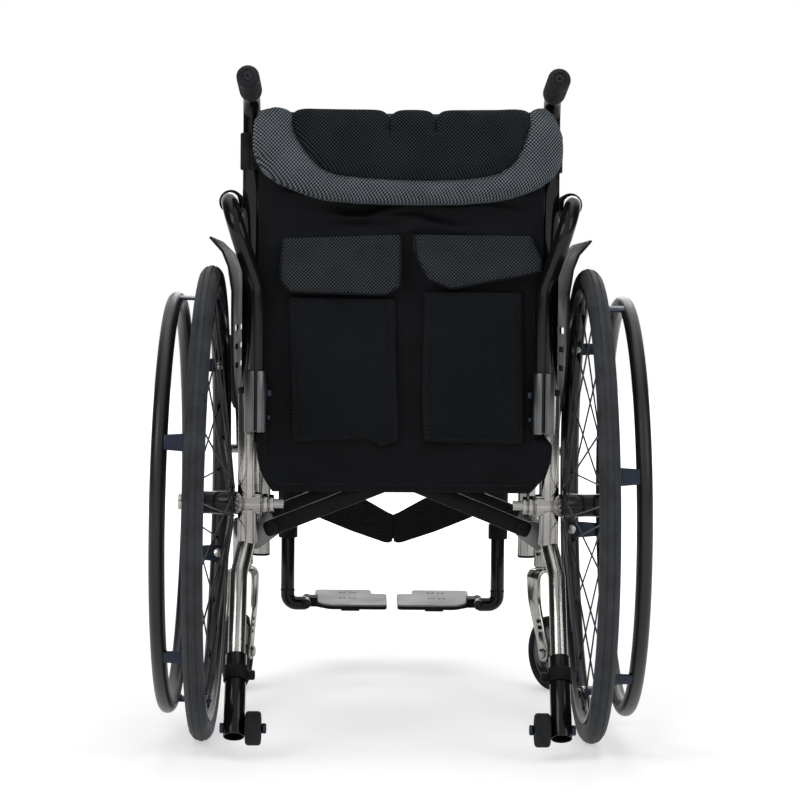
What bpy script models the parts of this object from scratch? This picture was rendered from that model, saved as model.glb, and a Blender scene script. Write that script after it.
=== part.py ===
"""Folding self-propelled wheelchair, built for Blender 4.5 in metres, +Z up.

The chair faces +Y and the user's right is +X.  Everything is placed from the rear axle
line (Y = 0 there) and hung on one empty, which moves the chair so that the middle of its
length lies over the world's origin.
"""
import math

import bmesh
import bpy
from mathutils import Matrix, Vector

# Rear wheel, measured from its own axle
TYRE_RADIUS = 0.296
TYRE_WIDTH = 0.025
TYRE_HEIGHT = 0.0245
GROOVE_OFFSET = 0.0038
GROOVE_DEPTH = 0.0011
RIM_WIDTH = 0.021
RIM_HEIGHT = 0.0105
WHEEL_HALF_TRACK = 0.2377
CAMBER = math.radians(0.66)
WHEEL_SEGMENTS = 32
CASTER_SEGMENTS = 16
TUBE_SIDES = 10
SPOKE_COUNT = 36
SPOKE_RADIUS = 0.0011
SPOKE_SKEW = math.radians(52.0)
HUB_RADIUS = 0.015
HUB_FLANGE_RADIUS = 0.022
HUB_FLANGE_WIDTH = 0.004
HUB_INNER_REACH = 0.0327
HUB_OUTER_REACH = 0.031
AXLE_RADIUS = 0.006
AXLE_BORE_CLEARANCE = 0.0009
AXLE_INNER_END = 0.0945
AXLE_HEAD_RADIUS = 0.0105
AXLE_HEAD_WIDTH = 0.006
NUT_RADIUS = 0.0125
NUT_WIDTH = 0.0085
PUSHRIM_OFFSET = 0.0428
PUSHRIM_DROP = 0.0338
PUSHRIM_TUBE_RADIUS = 0.0095
PUSHRIM_TABS = 6
TAB_WIDTH = 0.022
TAB_THICKNESS = 0.0026
TAB_BOLT_RADIUS = 0.0046
LEFT_TAB_PHASE = math.radians(40.0)
RIGHT_TAB_PHASE = math.radians(48.0)

# Side frame
GAP = 0.0003
WELD_BITE = 0.0017
FRAME_HALF_WIDTH = 0.1885
FRAME_TUBE_RADIUS = 0.0125
UPRIGHT_RISE = 0.068
LOWER_RAIL_HEIGHT = 0.252
LOWER_RAIL_RADIUS = 0.011
TOP_RAIL_DROP = 0.028889
FRONT_POST_Y = 0.415
FRONT_POST_BOTTOM = 0.190
FRONT_POST_BEND = 0.030
AXLE_SLEEVE_RADIUS = 0.0142
AXLE_SLEEVE_INNER = 0.172
STUB_RADIUS = 0.0108
STUB_KNEE_X = 0.197
STUB_KNEE_Y = -0.034
STUB_KNEE_HEIGHT = 0.210
STUB_FOOT_X = 0.196
STUB_FOOT_Y = -0.150
STUB_FOOT_HEIGHT = 0.028

# Anti-tip tube and roller
TIP_TUBE_LENGTH = 0.106
TIP_TUBE_RADIUS = 0.0128
TIP_TUBE_WALL = 0.0013
TIP_STUB_INSERT = 0.030
TIP_ROLLER_RADIUS = 0.0205
TIP_ROLLER_WIDTH = 0.019
TIP_BOLT_RADIUS = 0.003
TIP_BOLT_SETBACK = 0.011

# Caster
STEM_X = 0.215
STEM_Y = 0.430
BARREL_RADIUS = 0.0145
BARREL_BOTTOM = 0.173
BARREL_TOP = 0.235
STEM_RADIUS = 0.006
CASTER_RADIUS = 0.0525
CASTER_TYRE_WIDTH = 0.026
CASTER_TYRE_HEIGHT = 0.013
CASTER_HUB_WIDTH = 0.0296
CASTER_TRAIL = 0.030
FORK_WIDTH = 0.042
FORK_TOP = 0.170
FORK_WALL = 0.005
FORK_DEPTH = 0.030
FORK_HOLES = 2
LEFT_SWIVEL = math.radians(-10.0)
RIGHT_SWIVEL = math.radians(30.0)

# Folding cross brace
BRACE_PIVOT_X = 0.158
BRACE_PIVOT_HEIGHT = 0.263
BRACE_SLOPE = math.radians(21.7)
BRACE_BAR_HEIGHT = 0.020
BRACE_BAR_DEPTH = 0.018
BRACE_BOLT_RADIUS = 0.005
REAR_BRACE_Y = 0.040
FRONT_BRACE_Y = 0.280
SEAT_TUBE_X = 0.1885
SEAT_TUBE_RADIUS = 0.011
SEAT_TUBE_BACK = 0.020
SEAT_TUBE_FRONT = 0.405

# Back
CANE_RADIUS = 0.0108
CANE_X = 0.1865
CANE_BEND_HEIGHT = 0.806
CANE_BEND_RADIUS = 0.030
GRIP_FRONT_Y = -0.030
GRIP_LENGTH = 0.0905
GRIP_RISE = math.radians(7.0)
GRIP_RADIUS = 0.0140
GRIP_BORE = 0.0116
BACK_Y = -0.0095
BACK_SHEET_DEPTH = 0.004
BACK_TOP_DROP = 0.036
BACK_LENGTH = 0.459
FOLD_LENGTH = 0.072
FOLD_DROP = 0.066
FOLD_COUNT = 3
FOLD_DEPTH = 0.0045
FOLD_COLUMNS = 8
PAD_OFFSET_X = 0.007
STRAP_DROP = 0.013
STRAP_WIDTH = 0.047
STRAP_THICKNESS = 0.0025

# Armrest
SOCKET_X = 0.1778
SOCKET_RADIUS = 0.0147
SOCKET_LENGTH = 0.076
SOCKET_RISE = 0.022
SOCKET_SLOT = 0.004
ARM_TUBE_RADIUS = 0.0108
ARM_RISE = 0.046
ARM_PAD_RADIUS = 0.015
ARM_PAD_BACK = 0.020
ARM_PAD_FRONT = 0.255
ARM_FRONT = 0.300

# Side guard
GUARD_X = 0.2085
GUARD_THICKNESS = 0.0025
GUARD_BACK = -0.045
GUARD_FRONT = 0.315
GUARD_OVER_TYRE = 0.034
GUARD_KNEE_DROP = 0.036
GUARD_FLARE = 0.030
GUARD_SLOT_LENGTH = 0.070
GUARD_SLOT_HEIGHT = 0.008
GUARD_SLOT_PITCH = 0.024
LOCK_PIVOT_RISE = 0.024
LOCK_SHOE_DROP = 0.051
LOCK_SHOE_LAG = 0.023
LOCK_SHOE_CLEARANCE = 0.010
LOCK_SHOE_RADIUS = 0.006
LOCK_ARM_X = 0.2096
LOCK_ARM_THICKNESS = 0.005

# Footrest
HANGER_PIVOT_Y = 0.4425
HANGER_PIVOT_BOTTOM = 0.285
HANGER_PIVOT_TOP = 0.340
HANGER_PIVOT_RADIUS = 0.011
HANGER_TOP = 0.318
HANGER_X = 0.154
HANGER_Y = 0.530
HANGER_RADIUS = 0.0122
HANGER_BORE = 0.0107
HANGER_BOTTOM = 0.204
COLLAR_TOP = 0.224
COLLAR_RADIUS = 0.0135
FOOT_TUBE_RADIUS = 0.0100
FOOT_TUBE_TOP = 0.243
ELBOW_HEIGHT = 0.105
HINGE_RADIUS = 0.0075
HINGE_PIN_RADIUS = 0.0038
HINGE_SPLIT_Y = 0.545
HINGE_END_Y = 0.585
PLATE_PIVOT_X = 0.127
PLATE_INNER = 0.0092
PLATE_OUTER = 0.1135
PLATE_BACK = 0.5445
PLATE_LENGTH = 0.1388
PLATE_TOP = 0.1013
PLATE_THICKNESS = 0.005
PLATE_NOTCH = 0.022
PLATE_NOTCH_LENGTH = 0.036
PLATE_TILT = math.radians(2.5)
PLATE_TAB_WIDTH = 0.027

# Worked out from the sizes above
AXLE_HEIGHT = (TYRE_RADIUS - TYRE_WIDTH / 2) * math.cos(CAMBER) + TYRE_WIDTH / 2
PLATE_FRONT = PLATE_BACK + PLATE_LENGTH
MIDDLE_Y = (PLATE_FRONT - TYRE_RADIUS) / 2
RIM_OUTER_RADIUS = TYRE_RADIUS - TYRE_HEIGHT - GAP
RIM_INNER_RADIUS = RIM_OUTER_RADIUS - RIM_HEIGHT
PUSHRIM_RADIUS = TYRE_RADIUS - PUSHRIM_DROP
BRACE_CROSS_HEIGHT = BRACE_PIVOT_HEIGHT + BRACE_PIVOT_X * math.tan(BRACE_SLOPE)
SEAT_TUBE_HEIGHT = BRACE_CROSS_HEIGHT + SEAT_TUBE_X * math.tan(BRACE_SLOPE)
TOP_RAIL_HEIGHT = round(SEAT_TUBE_HEIGHT - TOP_RAIL_DROP, 5)
UPRIGHT_TOP = TOP_RAIL_HEIGHT + UPRIGHT_RISE
SOCKET_TOP = UPRIGHT_TOP + SOCKET_RISE
SOCKET_BOTTOM = SOCKET_TOP - SOCKET_LENGTH
GUARD_TOP = 2 * TYRE_RADIUS + GUARD_OVER_TYRE
GUARD_KNEE = GUARD_TOP - GUARD_KNEE_DROP
GUARD_BOTTOM = TOP_RAIL_HEIGHT - 0.014
ARM_TOP = GUARD_TOP + ARM_RISE
LOCK_SHOE_Y = TYRE_RADIUS + LOCK_SHOE_CLEARANCE + LOCK_SHOE_RADIUS
LOCK_PIVOT_Y = LOCK_SHOE_Y + LOCK_SHOE_LAG
LOCK_PIVOT_HEIGHT = TOP_RAIL_HEIGHT + LOCK_PIVOT_RISE
LOCK_SHOE_HEIGHT = LOCK_PIVOT_HEIGHT - LOCK_SHOE_DROP
BACK_TOP = CANE_BEND_HEIGHT - BACK_TOP_DROP
BACK_BOTTOM = BACK_TOP - BACK_LENGTH
FOLD_TOP = BACK_TOP - FOLD_DROP
FOLD_BOTTOM = FOLD_TOP - FOLD_LENGTH
STRAP_TOP = BACK_TOP - STRAP_DROP
STRAP_BOTTOM = STRAP_TOP - STRAP_WIDTH
SOCKET_Y = -math.sqrt((SOCKET_RADIUS + FRAME_TUBE_RADIUS + GAP) ** 2
                      - (FRAME_HALF_WIDTH - SOCKET_X) ** 2)


def clear_scene():
    for item in list(bpy.data.objects):
        bpy.data.objects.remove(item, do_unlink=True)


def finish(name, colour, roughness, metallic=0.0):
    """A plain finish with the colour, roughness and metal of one of the chair's materials."""
    material = bpy.data.materials.new(name)
    material.use_nodes = True
    shader = material.node_tree.nodes["Principled BSDF"]
    shader.inputs["Base Color"].default_value = (*colour, 1.0)
    shader.inputs["Roughness"].default_value = roughness
    shader.inputs["Metallic"].default_value = metallic
    return material


def empty(name, parent=None, location=(0, 0, 0), rotation=(0, 0, 0)):
    holder = bpy.data.objects.new(name, None)
    holder.empty_display_size = 0.03
    bpy.context.scene.collection.objects.link(holder)
    holder.parent = parent
    holder.location = location
    holder.rotation_euler = rotation
    return holder


def joint_axis(name, parent, at, rotation=(0, 0, 0)):
    """Empty on a joint's axis, at a point of the chair's space, for the pieces that move with it."""
    holder = empty(name, parent, Vector(at) - Vector(parent.get("chair_point", (0, 0, 0))), rotation)
    holder["chair_point"] = tuple(at)
    return holder


def solid(name, bm):
    """Turn a bmesh into an object whose faces all point outwards."""
    bmesh.ops.recalc_face_normals(bm, faces=bm.faces)
    mesh = bpy.data.meshes.new(name)
    bm.to_mesh(mesh)
    bm.free()
    piece = bpy.data.objects.new(name, mesh)
    bpy.context.scene.collection.objects.link(piece)
    return piece


def place(piece, parent, material, smooth_angle=35.0):
    """Hang a finished piece on its empty and give it its finish."""
    piece.parent = parent
    piece.data.materials.clear()
    piece.data.materials.append(material)
    piece.data.shade_smooth()
    piece.data.set_sharp_from_angle(angle=math.radians(smooth_angle))
    return piece


def hang(piece, holder, material):
    """Hang a piece that was modelled in the chair's space on the empty of its joint."""
    piece.data.transform(Matrix.Translation(-Vector(holder.get("chair_point", (0, 0, 0)))))
    return place(piece, holder, material)


def apply_modifiers(piece):
    graph = bpy.context.evaluated_depsgraph_get()
    mesh = bpy.data.meshes.new_from_object(piece.evaluated_get(graph))
    piece.modifiers.clear()
    piece.data = mesh
    return piece


def combine(piece, others, operation):
    """Join or cut a piece with others, one after another, and remove the others."""
    for other in others:
        step = piece.modifiers.new(operation.lower(), "BOOLEAN")
        step.object = other
        step.operation = operation
        step.solver = "EXACT"
        apply_modifiers(piece)
        bpy.data.objects.remove(other, do_unlink=True)
    return piece


def join(name, pieces):
    first = combine(pieces[0], pieces[1:], "UNION")
    first.name = name
    return first


def cut(piece, cutters):
    return combine(piece, cutters, "DIFFERENCE")


def frame_along(path):
    """A right and an up direction at each point of a path, turning as little as they can."""
    tangents = []
    last = len(path) - 1
    for i in range(len(path)):
        ahead = path[min(i + 1, last)] - path[i]
        behind = path[i] - path[max(i - 1, 0)]
        tangents.append((ahead.normalized() + behind.normalized()).normalized())
    seed = Vector((0, 1, 0)) if abs(tangents[0].y) < 0.9 else Vector((1, 0, 0))
    across = tangents[0].cross(seed).normalized()
    frames = []
    for tangent in tangents:
        across = (across - tangent * across.dot(tangent)).normalized()
        frames.append((across, tangent.cross(across)))
    return frames


def skin(rings, closed_path=False):
    """Bridge equal rings of points into one closed body."""
    bm = bmesh.new()
    loops = [[bm.verts.new(point) for point in ring] for ring in rings]
    count = len(loops[0])
    pairs = list(zip(loops, loops[1:]))
    if closed_path:
        pairs.append((loops[-1], loops[0]))
    for near, far in pairs:
        for i in range(count):
            j = (i + 1) % count
            bm.faces.new((near[i], near[j], far[j], far[i]))
    if not closed_path:
        bm.faces.new(loops[0])
        bm.faces.new(loops[-1])
    return bm


def sweep(path, section):
    """Carry a flat section (across, up) along a path."""
    points = [Vector(point) for point in path]
    rings = []
    for point, (across, up) in zip(points, frame_along(points)):
        rings.append([point + across * a + up * b for a, b in section])
    return solid("sweep", skin(rings))


def circle(radius, sides=12, stretch=1.0):
    turn = math.tau / sides
    return [(radius * math.cos(turn * (i + 0.5)), radius * stretch * math.sin(turn * (i + 0.5)))
            for i in range(sides)]


def bend(corners, radius, steps=5):
    """Round the inner corners of a path with arcs of one radius."""
    corners = [Vector(corner) for corner in corners]
    path = [corners[0]]
    for before, corner, after in zip(corners, corners[1:], corners[2:]):
        back = (before - corner).normalized()
        ahead = (after - corner).normalized()
        half = back.angle(ahead) / 2
        reach = min(radius / math.tan(half), 0.48 * (before - corner).length,
                    0.48 * (after - corner).length)
        true_radius = reach * math.tan(half)
        centre = corner + (back + ahead).normalized() * (true_radius / math.sin(half))
        start = corner + back * reach - centre
        end = corner + ahead * reach - centre
        turn = start.angle(end)
        for i in range(steps + 1):
            share = i / steps
            swung = start * math.sin((1 - share) * turn) + end * math.sin(share * turn)
            path.append(centre + swung / math.sin(turn))
    path.append(corners[-1])
    return path


def tube(path, radius, sides=TUBE_SIDES):
    return sweep(path, circle(radius, sides))


def rod(start, end, radius, sides=TUBE_SIDES):
    return tube([start, end], radius, sides)


def turned(profile, segments=24, axis="X"):
    """Revolve a closed outline of (along, radius) points round an axis."""
    bm = bmesh.new()
    turn = math.tau / segments
    columns = []
    for along, radius in profile:
        if radius == 0.0:
            columns.append([bm.verts.new((along, 0, 0))])
            continue
        columns.append([bm.verts.new((along, radius * math.cos(turn * i), radius * math.sin(turn * i)))
                        for i in range(segments)])
    for near, far in zip(columns, columns[1:] + columns[:1]):
        if len(near) == 1 and len(far) == 1:
            continue
        for i in range(segments):
            j = (i + 1) % segments
            corners = [near[i % len(near)], near[j % len(near)], far[j % len(far)], far[i % len(far)]]
            bm.faces.new(list(dict.fromkeys(corners)))
    if axis == "Y":
        bmesh.ops.rotate(bm, verts=bm.verts, matrix=Matrix.Rotation(math.pi / 2, 3, "Z"))
    if axis == "Z":
        bmesh.ops.rotate(bm, verts=bm.verts, matrix=Matrix.Rotation(-math.pi / 2, 3, "Y"))
    return solid("turned", bm)


def disc(axis, start, end, radius, segments=16, at=(0, 0, 0)):
    """A plain cylinder along an axis, from start to end."""
    piece = turned([(start, 0.0), (start, radius), (end, radius), (end, 0.0)], segments, axis)
    piece.data.transform(Matrix.Translation(at))
    return piece


def spool(axis, steps, segments=10, at=(0, 0, 0)):
    """Coaxial cylinders end to end, such as a bolt with its head and nut: (end, radius) steps."""
    start = steps[0]
    profile = [(start, 0.0)]
    for end, radius in steps[1:]:
        profile += [(start, radius), (end, radius)]
        start = end
    piece = turned(profile + [(start, 0.0)], segments, axis)
    piece.data.transform(Matrix.Translation(at))
    return piece


def block(low, high):
    centre = [(a + b) / 2 for a, b in zip(low, high)]
    size = [abs(b - a) for a, b in zip(low, high)]
    bm = bmesh.new()
    bmesh.ops.create_cube(bm, size=1.0)
    bmesh.ops.scale(bm, vec=size, verts=bm.verts)
    bmesh.ops.translate(bm, vec=centre, verts=bm.verts)
    return solid("block", bm)


def slab(outline, offset):
    """Give a flat outline of 3-D points a thickness along offset."""
    bm = bmesh.new()
    face = bm.faces.new([bm.verts.new(point) for point in outline])
    moved = bmesh.ops.extrude_face_region(bm, geom=[face])
    top = [item for item in moved["geom"] if isinstance(item, bmesh.types.BMVert)]
    bmesh.ops.translate(bm, vec=offset, verts=top)
    return solid("slab", bm)


def round_corners(outline, radius, steps=4):
    """Round every corner of a flat closed outline of 2-D points."""
    count = len(outline)
    rounded = []
    for i in range(count):
        corner = Vector(outline[i])
        before = Vector(outline[i - 1])
        after = Vector(outline[(i + 1) % count])
        reach = min(radius, 0.45 * (before - corner).length, 0.45 * (after - corner).length)
        start = corner + (before - corner).normalized() * reach
        end = corner + (after - corner).normalized() * reach
        for k in range(steps + 1):
            share = k / steps
            rounded.append(start.lerp(corner, share).lerp(corner.lerp(end, share), share))
    return rounded


def sided(piece, side):
    """Every piece is modelled for the right side; the left one is its mirror image."""
    if side < 0:
        piece.data.transform(Matrix.Scale(-1, 4, (1, 0, 0)))
        piece.data.flip_normals()
    return piece


def move(piece, x=0.0, y=0.0, z=0.0):
    piece.data.transform(Matrix.Translation((x, y, z)))
    return piece


def tyre_outline():
    """Section of the tyre: a narrow bead, round shoulders and two grooves in the tread."""
    half = TYRE_WIDTH / 2
    middle = TYRE_RADIUS - half

    def surface(across):
        return middle + math.sqrt(half ** 2 - max(across ** 2 - 0.0026 ** 2, 0))

    groove = [GROOVE_OFFSET + 0.0012, GROOVE_OFFSET, GROOVE_OFFSET - 0.0012]
    depth = [0.0, GROOVE_DEPTH, 0.0]
    shoulder = [math.radians(angle) for angle in (108, 64)]
    right = [(half * math.sin(a), middle + half * math.cos(a)) for a in shoulder]
    right += [(across, surface(across) - down) for across, down in zip(groove, depth)]
    left = [(-across, radius) for across, radius in reversed(right)]
    bead = TYRE_RADIUS - TYRE_HEIGHT
    bead_half = half * 0.70
    return [(bead_half, bead)] + right + left + [(-bead_half, bead)]


def rim_outline():
    half = RIM_WIDTH / 2
    return [(-half, RIM_OUTER_RADIUS), (half, RIM_OUTER_RADIUS), (half, RIM_INNER_RADIUS + 0.003),
            (half - 0.0035, RIM_INNER_RADIUS), (0.0035 - half, RIM_INNER_RADIUS),
            (-half, RIM_INNER_RADIUS + 0.003)]


def spokes():
    """Crossed spokes, by turns to the inner and the outer flange of the hub."""
    inner_flange = HUB_FLANGE_WIDTH / 2 - HUB_INNER_REACH
    outer_flange = HUB_OUTER_REACH - HUB_FLANGE_WIDTH / 2
    hub_end = HUB_FLANGE_RADIUS + GAP + SPOKE_RADIUS
    rods = []
    for i in range(SPOKE_COUNT):
        at_rim = math.tau * (i + 0.5) / SPOKE_COUNT
        lean = 1 if (i // 2) % 2 == 0 else -1
        at_hub = at_rim + lean * SPOKE_SKEW
        flange = inner_flange if i % 2 else outer_flange
        foot = Vector((flange + lean * 1.3 * SPOKE_RADIUS, hub_end * math.cos(at_hub),
                       hub_end * math.sin(at_hub)))
        nipple = RIM_INNER_RADIUS + 0.003
        head = Vector((0.1 * flange, nipple * math.cos(at_rim), nipple * math.sin(at_rim)))
        rods.append(rod(foot, head, SPOKE_RADIUS, 3))
    return rods


def hub_outline():
    bore = AXLE_RADIUS + GAP
    inner = -HUB_INNER_REACH
    outer = HUB_OUTER_REACH
    flange = HUB_FLANGE_WIDTH
    return [(inner, bore), (inner, HUB_FLANGE_RADIUS), (inner + flange, HUB_FLANGE_RADIUS),
            (inner + flange + 0.003, HUB_RADIUS), (outer - flange - 0.003, HUB_RADIUS),
            (outer - flange, HUB_FLANGE_RADIUS), (outer, HUB_FLANGE_RADIUS), (outer, bore)]


def pushrim(phase):
    """Hand ring on six tabs, which are bolted to the inner face of the rim."""
    ring_radius = PUSHRIM_RADIUS - PUSHRIM_TUBE_RADIUS
    section = [(PUSHRIM_OFFSET + a, ring_radius + b) for a, b in circle(PUSHRIM_TUBE_RADIUS, 6)]
    ring = turned(section, WHEEL_SEGMENTS)
    pieces = [ring]
    half = TAB_WIDTH / 2
    rim_flat = RIM_INNER_RADIUS * math.cos(math.pi / WHEEL_SEGMENTS)
    seat = math.sqrt((rim_flat - GAP) ** 2 - half ** 2)
    for k in range(PUSHRIM_TABS):
        angle = phase + math.tau * k / PUSHRIM_TABS
        low = seat - TAB_THICKNESS
        bolt_at = 0.0
        tab = block((bolt_at - 0.006, -half, low), (PUSHRIM_OFFSET - 0.003, half, seat))
        bolt = disc("Z", low - 0.0025, low + 0.001, TAB_BOLT_RADIUS, 6, (bolt_at, 0, 0))
        for piece in (tab, bolt):
            piece.data.transform(Matrix.Rotation(angle - math.pi / 2, 4, "X"))
            pieces.append(piece)
    return join("pushrim", pieces)


def axle():
    """Through bolt of the wheel, with its head outside and two nuts inside the frame."""
    head = HUB_OUTER_REACH + GAP
    sleeve_end = AXLE_SLEEVE_INNER - WHEEL_HALF_TRACK - GAP
    pin = spool("X", [-AXLE_INNER_END, (head, AXLE_RADIUS), (head + AXLE_HEAD_WIDTH, AXLE_HEAD_RADIUS)], 12)
    nuts = spool("X", [sleeve_end - 1.9 * NUT_WIDTH, (sleeve_end - 1.1 * NUT_WIDTH, 0.92 * NUT_RADIUS),
                       (sleeve_end - NUT_WIDTH, 0.8 * NUT_RADIUS), (sleeve_end, NUT_RADIUS)], 6)
    return join("axle", [pin, nuts])


def rear_wheel(name, side, frame, finishes):
    hub_point = (side * WHEEL_HALF_TRACK, 0, AXLE_HEIGHT)
    wheel = joint_axis(name + "_wheel_axis", frame, hub_point, (0, -side * CAMBER, 0))
    phase = LEFT_TAB_PHASE if side < 0 else RIGHT_TAB_PHASE
    pieces = {
        "tyre": (turned(tyre_outline(), WHEEL_SEGMENTS), "rubber"),
        "rim_and_spokes": (join("rim", [turned(rim_outline(), WHEEL_SEGMENTS)] + spokes()), "black_paint"),
        "hub": (turned(hub_outline(), 12), "black_paint"),
        "pushrim": (pushrim(phase), "black_paint"),
        "axle": (axle(), "chrome"),
    }
    for part, (piece, surface) in pieces.items():
        piece.name = name + "_" + part
        place(sided(piece, side), wheel, finishes[surface])
    return wheel


def wheel_space(piece):
    """Carry a piece from the right wheel's own axis into the chair."""
    piece.data.transform(Matrix.Rotation(-CAMBER, 4, "Y"))
    return move(piece, WHEEL_HALF_TRACK, 0, AXLE_HEIGHT)


def stub_points():
    knee = Vector((STUB_KNEE_X, STUB_KNEE_Y, STUB_KNEE_HEIGHT))
    foot = Vector((STUB_FOOT_X, STUB_FOOT_Y, STUB_FOOT_HEIGHT))
    return knee, foot, (foot - knee).normalized()


def brace_lug(bar_y, lug_y, thickness):
    """Plate that carries a cross brace's lower end, with its pivot bolt and bolt head."""
    x, z = BRACE_PIVOT_X, BRACE_PIVOT_HEIGHT
    flat = round_corners([(x - 0.010, z + 0.010), (x - 0.010, z - 0.008), (x + 0.020, z - 0.030),
                          (FRAME_HALF_WIDTH + WELD_BITE, z - 0.027), (FRAME_HALF_WIDTH + WELD_BITE, z + 0.004)],
                         0.006, 1)
    plate = slab([(a, lug_y, b) for a, b in flat], (0, thickness, 0))
    head_y = bar_y - GAP
    far = lug_y + thickness
    bolt = spool("Y", [head_y - 0.0045, (head_y, 0.0078), (far - 0.001, BRACE_BOLT_RADIUS),
                       (far + 0.004, 0.0072)], 10, (x, 0, z))
    return [plate, bolt]


def side_frame(side):
    """One side of the frame: upright, rails, front post, caster barrel, brackets and rear stub."""
    w = FRAME_HALF_WIDTH
    knee, foot, down = stub_points()
    stub_end = foot - down * (TIP_TUBE_LENGTH - TIP_STUB_INSERT)
    post = FRONT_POST_Y
    upright = rod((w, 0, LOWER_RAIL_HEIGHT - 0.004), (w, 0, UPRIGHT_TOP), FRAME_TUBE_RADIUS)
    lower = tube(bend([(w, post - WELD_BITE, LOWER_RAIL_HEIGHT), (w, 0.006, LOWER_RAIL_HEIGHT), knee,
                       stub_end], 0.028, 3), STUB_RADIUS)
    upper = tube(bend([(w, WELD_BITE, TOP_RAIL_HEIGHT), (w, post, TOP_RAIL_HEIGHT),
                       (w, post, FRONT_POST_BOTTOM)], FRONT_POST_BEND, 4), FRAME_TUBE_RADIUS)
    sleeve = wheel_space(disc("X", AXLE_SLEEVE_INNER - WHEEL_HALF_TRACK, -HUB_INNER_REACH - GAP,
                              AXLE_SLEEVE_RADIUS, 12))
    barrel = spool("Z", [BARREL_BOTTOM, (BARREL_TOP, BARREL_RADIUS), (BARREL_TOP + 0.004, BARREL_RADIUS - 0.003)],
                   14, (STEM_X, STEM_Y, 0))
    weld = block((w + WELD_BITE, post - 0.0023, FRONT_POST_BOTTOM + 0.004),
                 (STEM_X - WELD_BITE, STEM_Y + 0.0053, BARREL_TOP - 0.006))
    pieces = [upright, lower, upper, sleeve, barrel, weld]
    for level in (HANGER_PIVOT_BOTTOM - 0.006 - GAP, HANGER_PIVOT_TOP + GAP):
        lug = slab([(a, b, level) for a, b in round_corners(
            [(w - 0.0097, post + WELD_BITE), (w + 0.0097, post + WELD_BITE),
             (w + 0.0097, HANGER_PIVOT_Y + 0.010), (w - 0.0097, HANGER_PIVOT_Y + 0.010)], 0.006, 1)],
            (0, 0, 0.006))
        pieces.append(lug)
    for y in (SEAT_TUBE_BACK + 0.055, SEAT_TUBE_FRONT - 0.075):
        saddle = block((w - 0.0087, y - 0.012, TOP_RAIL_HEIGHT + 0.0063),
                       (w + 0.0087, y + 0.012, SEAT_TUBE_HEIGHT - SEAT_TUBE_RADIUS - GAP))
        pieces.append(saddle)
    for brace_y in (REAR_BRACE_Y, FRONT_BRACE_Y):
        bar_y = brace_y - BRACE_BAR_DEPTH if side < 0 else brace_y + 2 * GAP
        pieces += brace_lug(bar_y, bar_y + BRACE_BAR_DEPTH + GAP, 0.004)
    frame = join("frame", pieces)
    bore = AXLE_RADIUS + AXLE_BORE_CLEARANCE
    through = disc("X", -0.09, 0.0, bore, 12)
    through.data.transform(Matrix.Rotation(0.2, 4, "X"))
    stem_bore = disc("Z", BARREL_BOTTOM - 0.01, BARREL_TOP - 0.005, STEM_RADIUS + 0.0006, 12,
                     (STEM_X, STEM_Y, 0))
    return cut(frame, [wheel_space(through), stem_bore])


def grip_axis():
    front = Vector((CANE_X, GRIP_FRONT_Y, CANE_BEND_HEIGHT))
    return front, Vector((0, -math.cos(GRIP_RISE), math.sin(GRIP_RISE)))


def back_cane():
    """Black tube that stands on the upright and turns back into the push handle."""
    front, back = grip_axis()
    path = bend([(CANE_X, 0.0, UPRIGHT_TOP + GAP),
                 (CANE_X, 0.0, CANE_BEND_HEIGHT + GRIP_FRONT_Y * math.tan(GRIP_RISE)),
                 front + back * (GRIP_LENGTH - 0.014)], CANE_BEND_RADIUS, 5)
    return tube(path, CANE_RADIUS)


def push_grip():
    """Ribbed rubber grip with a blind bore for the tube."""
    length = GRIP_LENGTH
    outline = [(0.0, GRIP_BORE), (0.0, GRIP_RADIUS - 0.0012), (0.004, GRIP_RADIUS)]
    ribs = 3
    pitch = (length - 0.020) / ribs
    for i in range(ribs):
        start = 0.008 + i * pitch
        outline += [(start, GRIP_RADIUS), (start + 0.2 * pitch, GRIP_RADIUS - 0.0009),
                    (start + 0.8 * pitch, GRIP_RADIUS - 0.0009)]
    outline += [(length - 0.010, GRIP_RADIUS), (length - 0.003, GRIP_RADIUS),
                (length, GRIP_RADIUS - 0.003), (length, 0.0),
                (length - 0.012, 0.0), (length - 0.012, GRIP_BORE)]
    grip = turned(outline, 10, "Y")
    grip.data.transform(Matrix.Rotation(math.pi, 4, "Z"))
    grip.data.transform(Matrix.Rotation(-GRIP_RISE, 4, "X"))
    front, _ = grip_axis()
    return move(grip, *front)


def armrest_socket():
    """Slotted silver sleeve behind the upright, which holds the armrest's post."""
    height = SOCKET_TOP - SOCKET_BOTTOM
    bore = ARM_TUBE_RADIUS + 2 * GAP
    ring = turned([(0, bore), (0, SOCKET_RADIUS), (height, SOCKET_RADIUS), (height, bore)], 16, "Z")
    slot = block((-SOCKET_SLOT / 2, -0.03, -0.01), (SOCKET_SLOT / 2, 0, height + 0.01))
    return move(cut(ring, [slot]), SOCKET_X, SOCKET_Y, SOCKET_BOTTOM)


def arm_x():
    return SOCKET_X + 0.0352


def armrest_tube():
    """Bent tube: up out of the socket, out over the guard and forward under the pad."""
    corners = [(SOCKET_X, SOCKET_Y, SOCKET_BOTTOM + 0.002), (SOCKET_X, SOCKET_Y, ARM_TOP - 0.110),
               (arm_x(), -0.052, ARM_TOP), (arm_x(), ARM_FRONT - 0.012, ARM_TOP),
               (arm_x() - 0.006, ARM_FRONT + 0.022, ARM_TOP - 0.030)]
    return tube(bend(corners, 0.042, 4), ARM_TUBE_RADIUS)


def armrest_pad():
    bore = ARM_TUBE_RADIUS + 2 * GAP
    back, front, outer = ARM_PAD_BACK, ARM_PAD_FRONT, ARM_PAD_RADIUS
    pad = turned([(back, bore), (back, outer - 0.002), (back + 0.004, outer), (front - 0.004, outer),
                  (front, outer - 0.002), (front, bore)], 12, "Y")
    return move(pad, arm_x(), 0, ARM_TOP)


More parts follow.
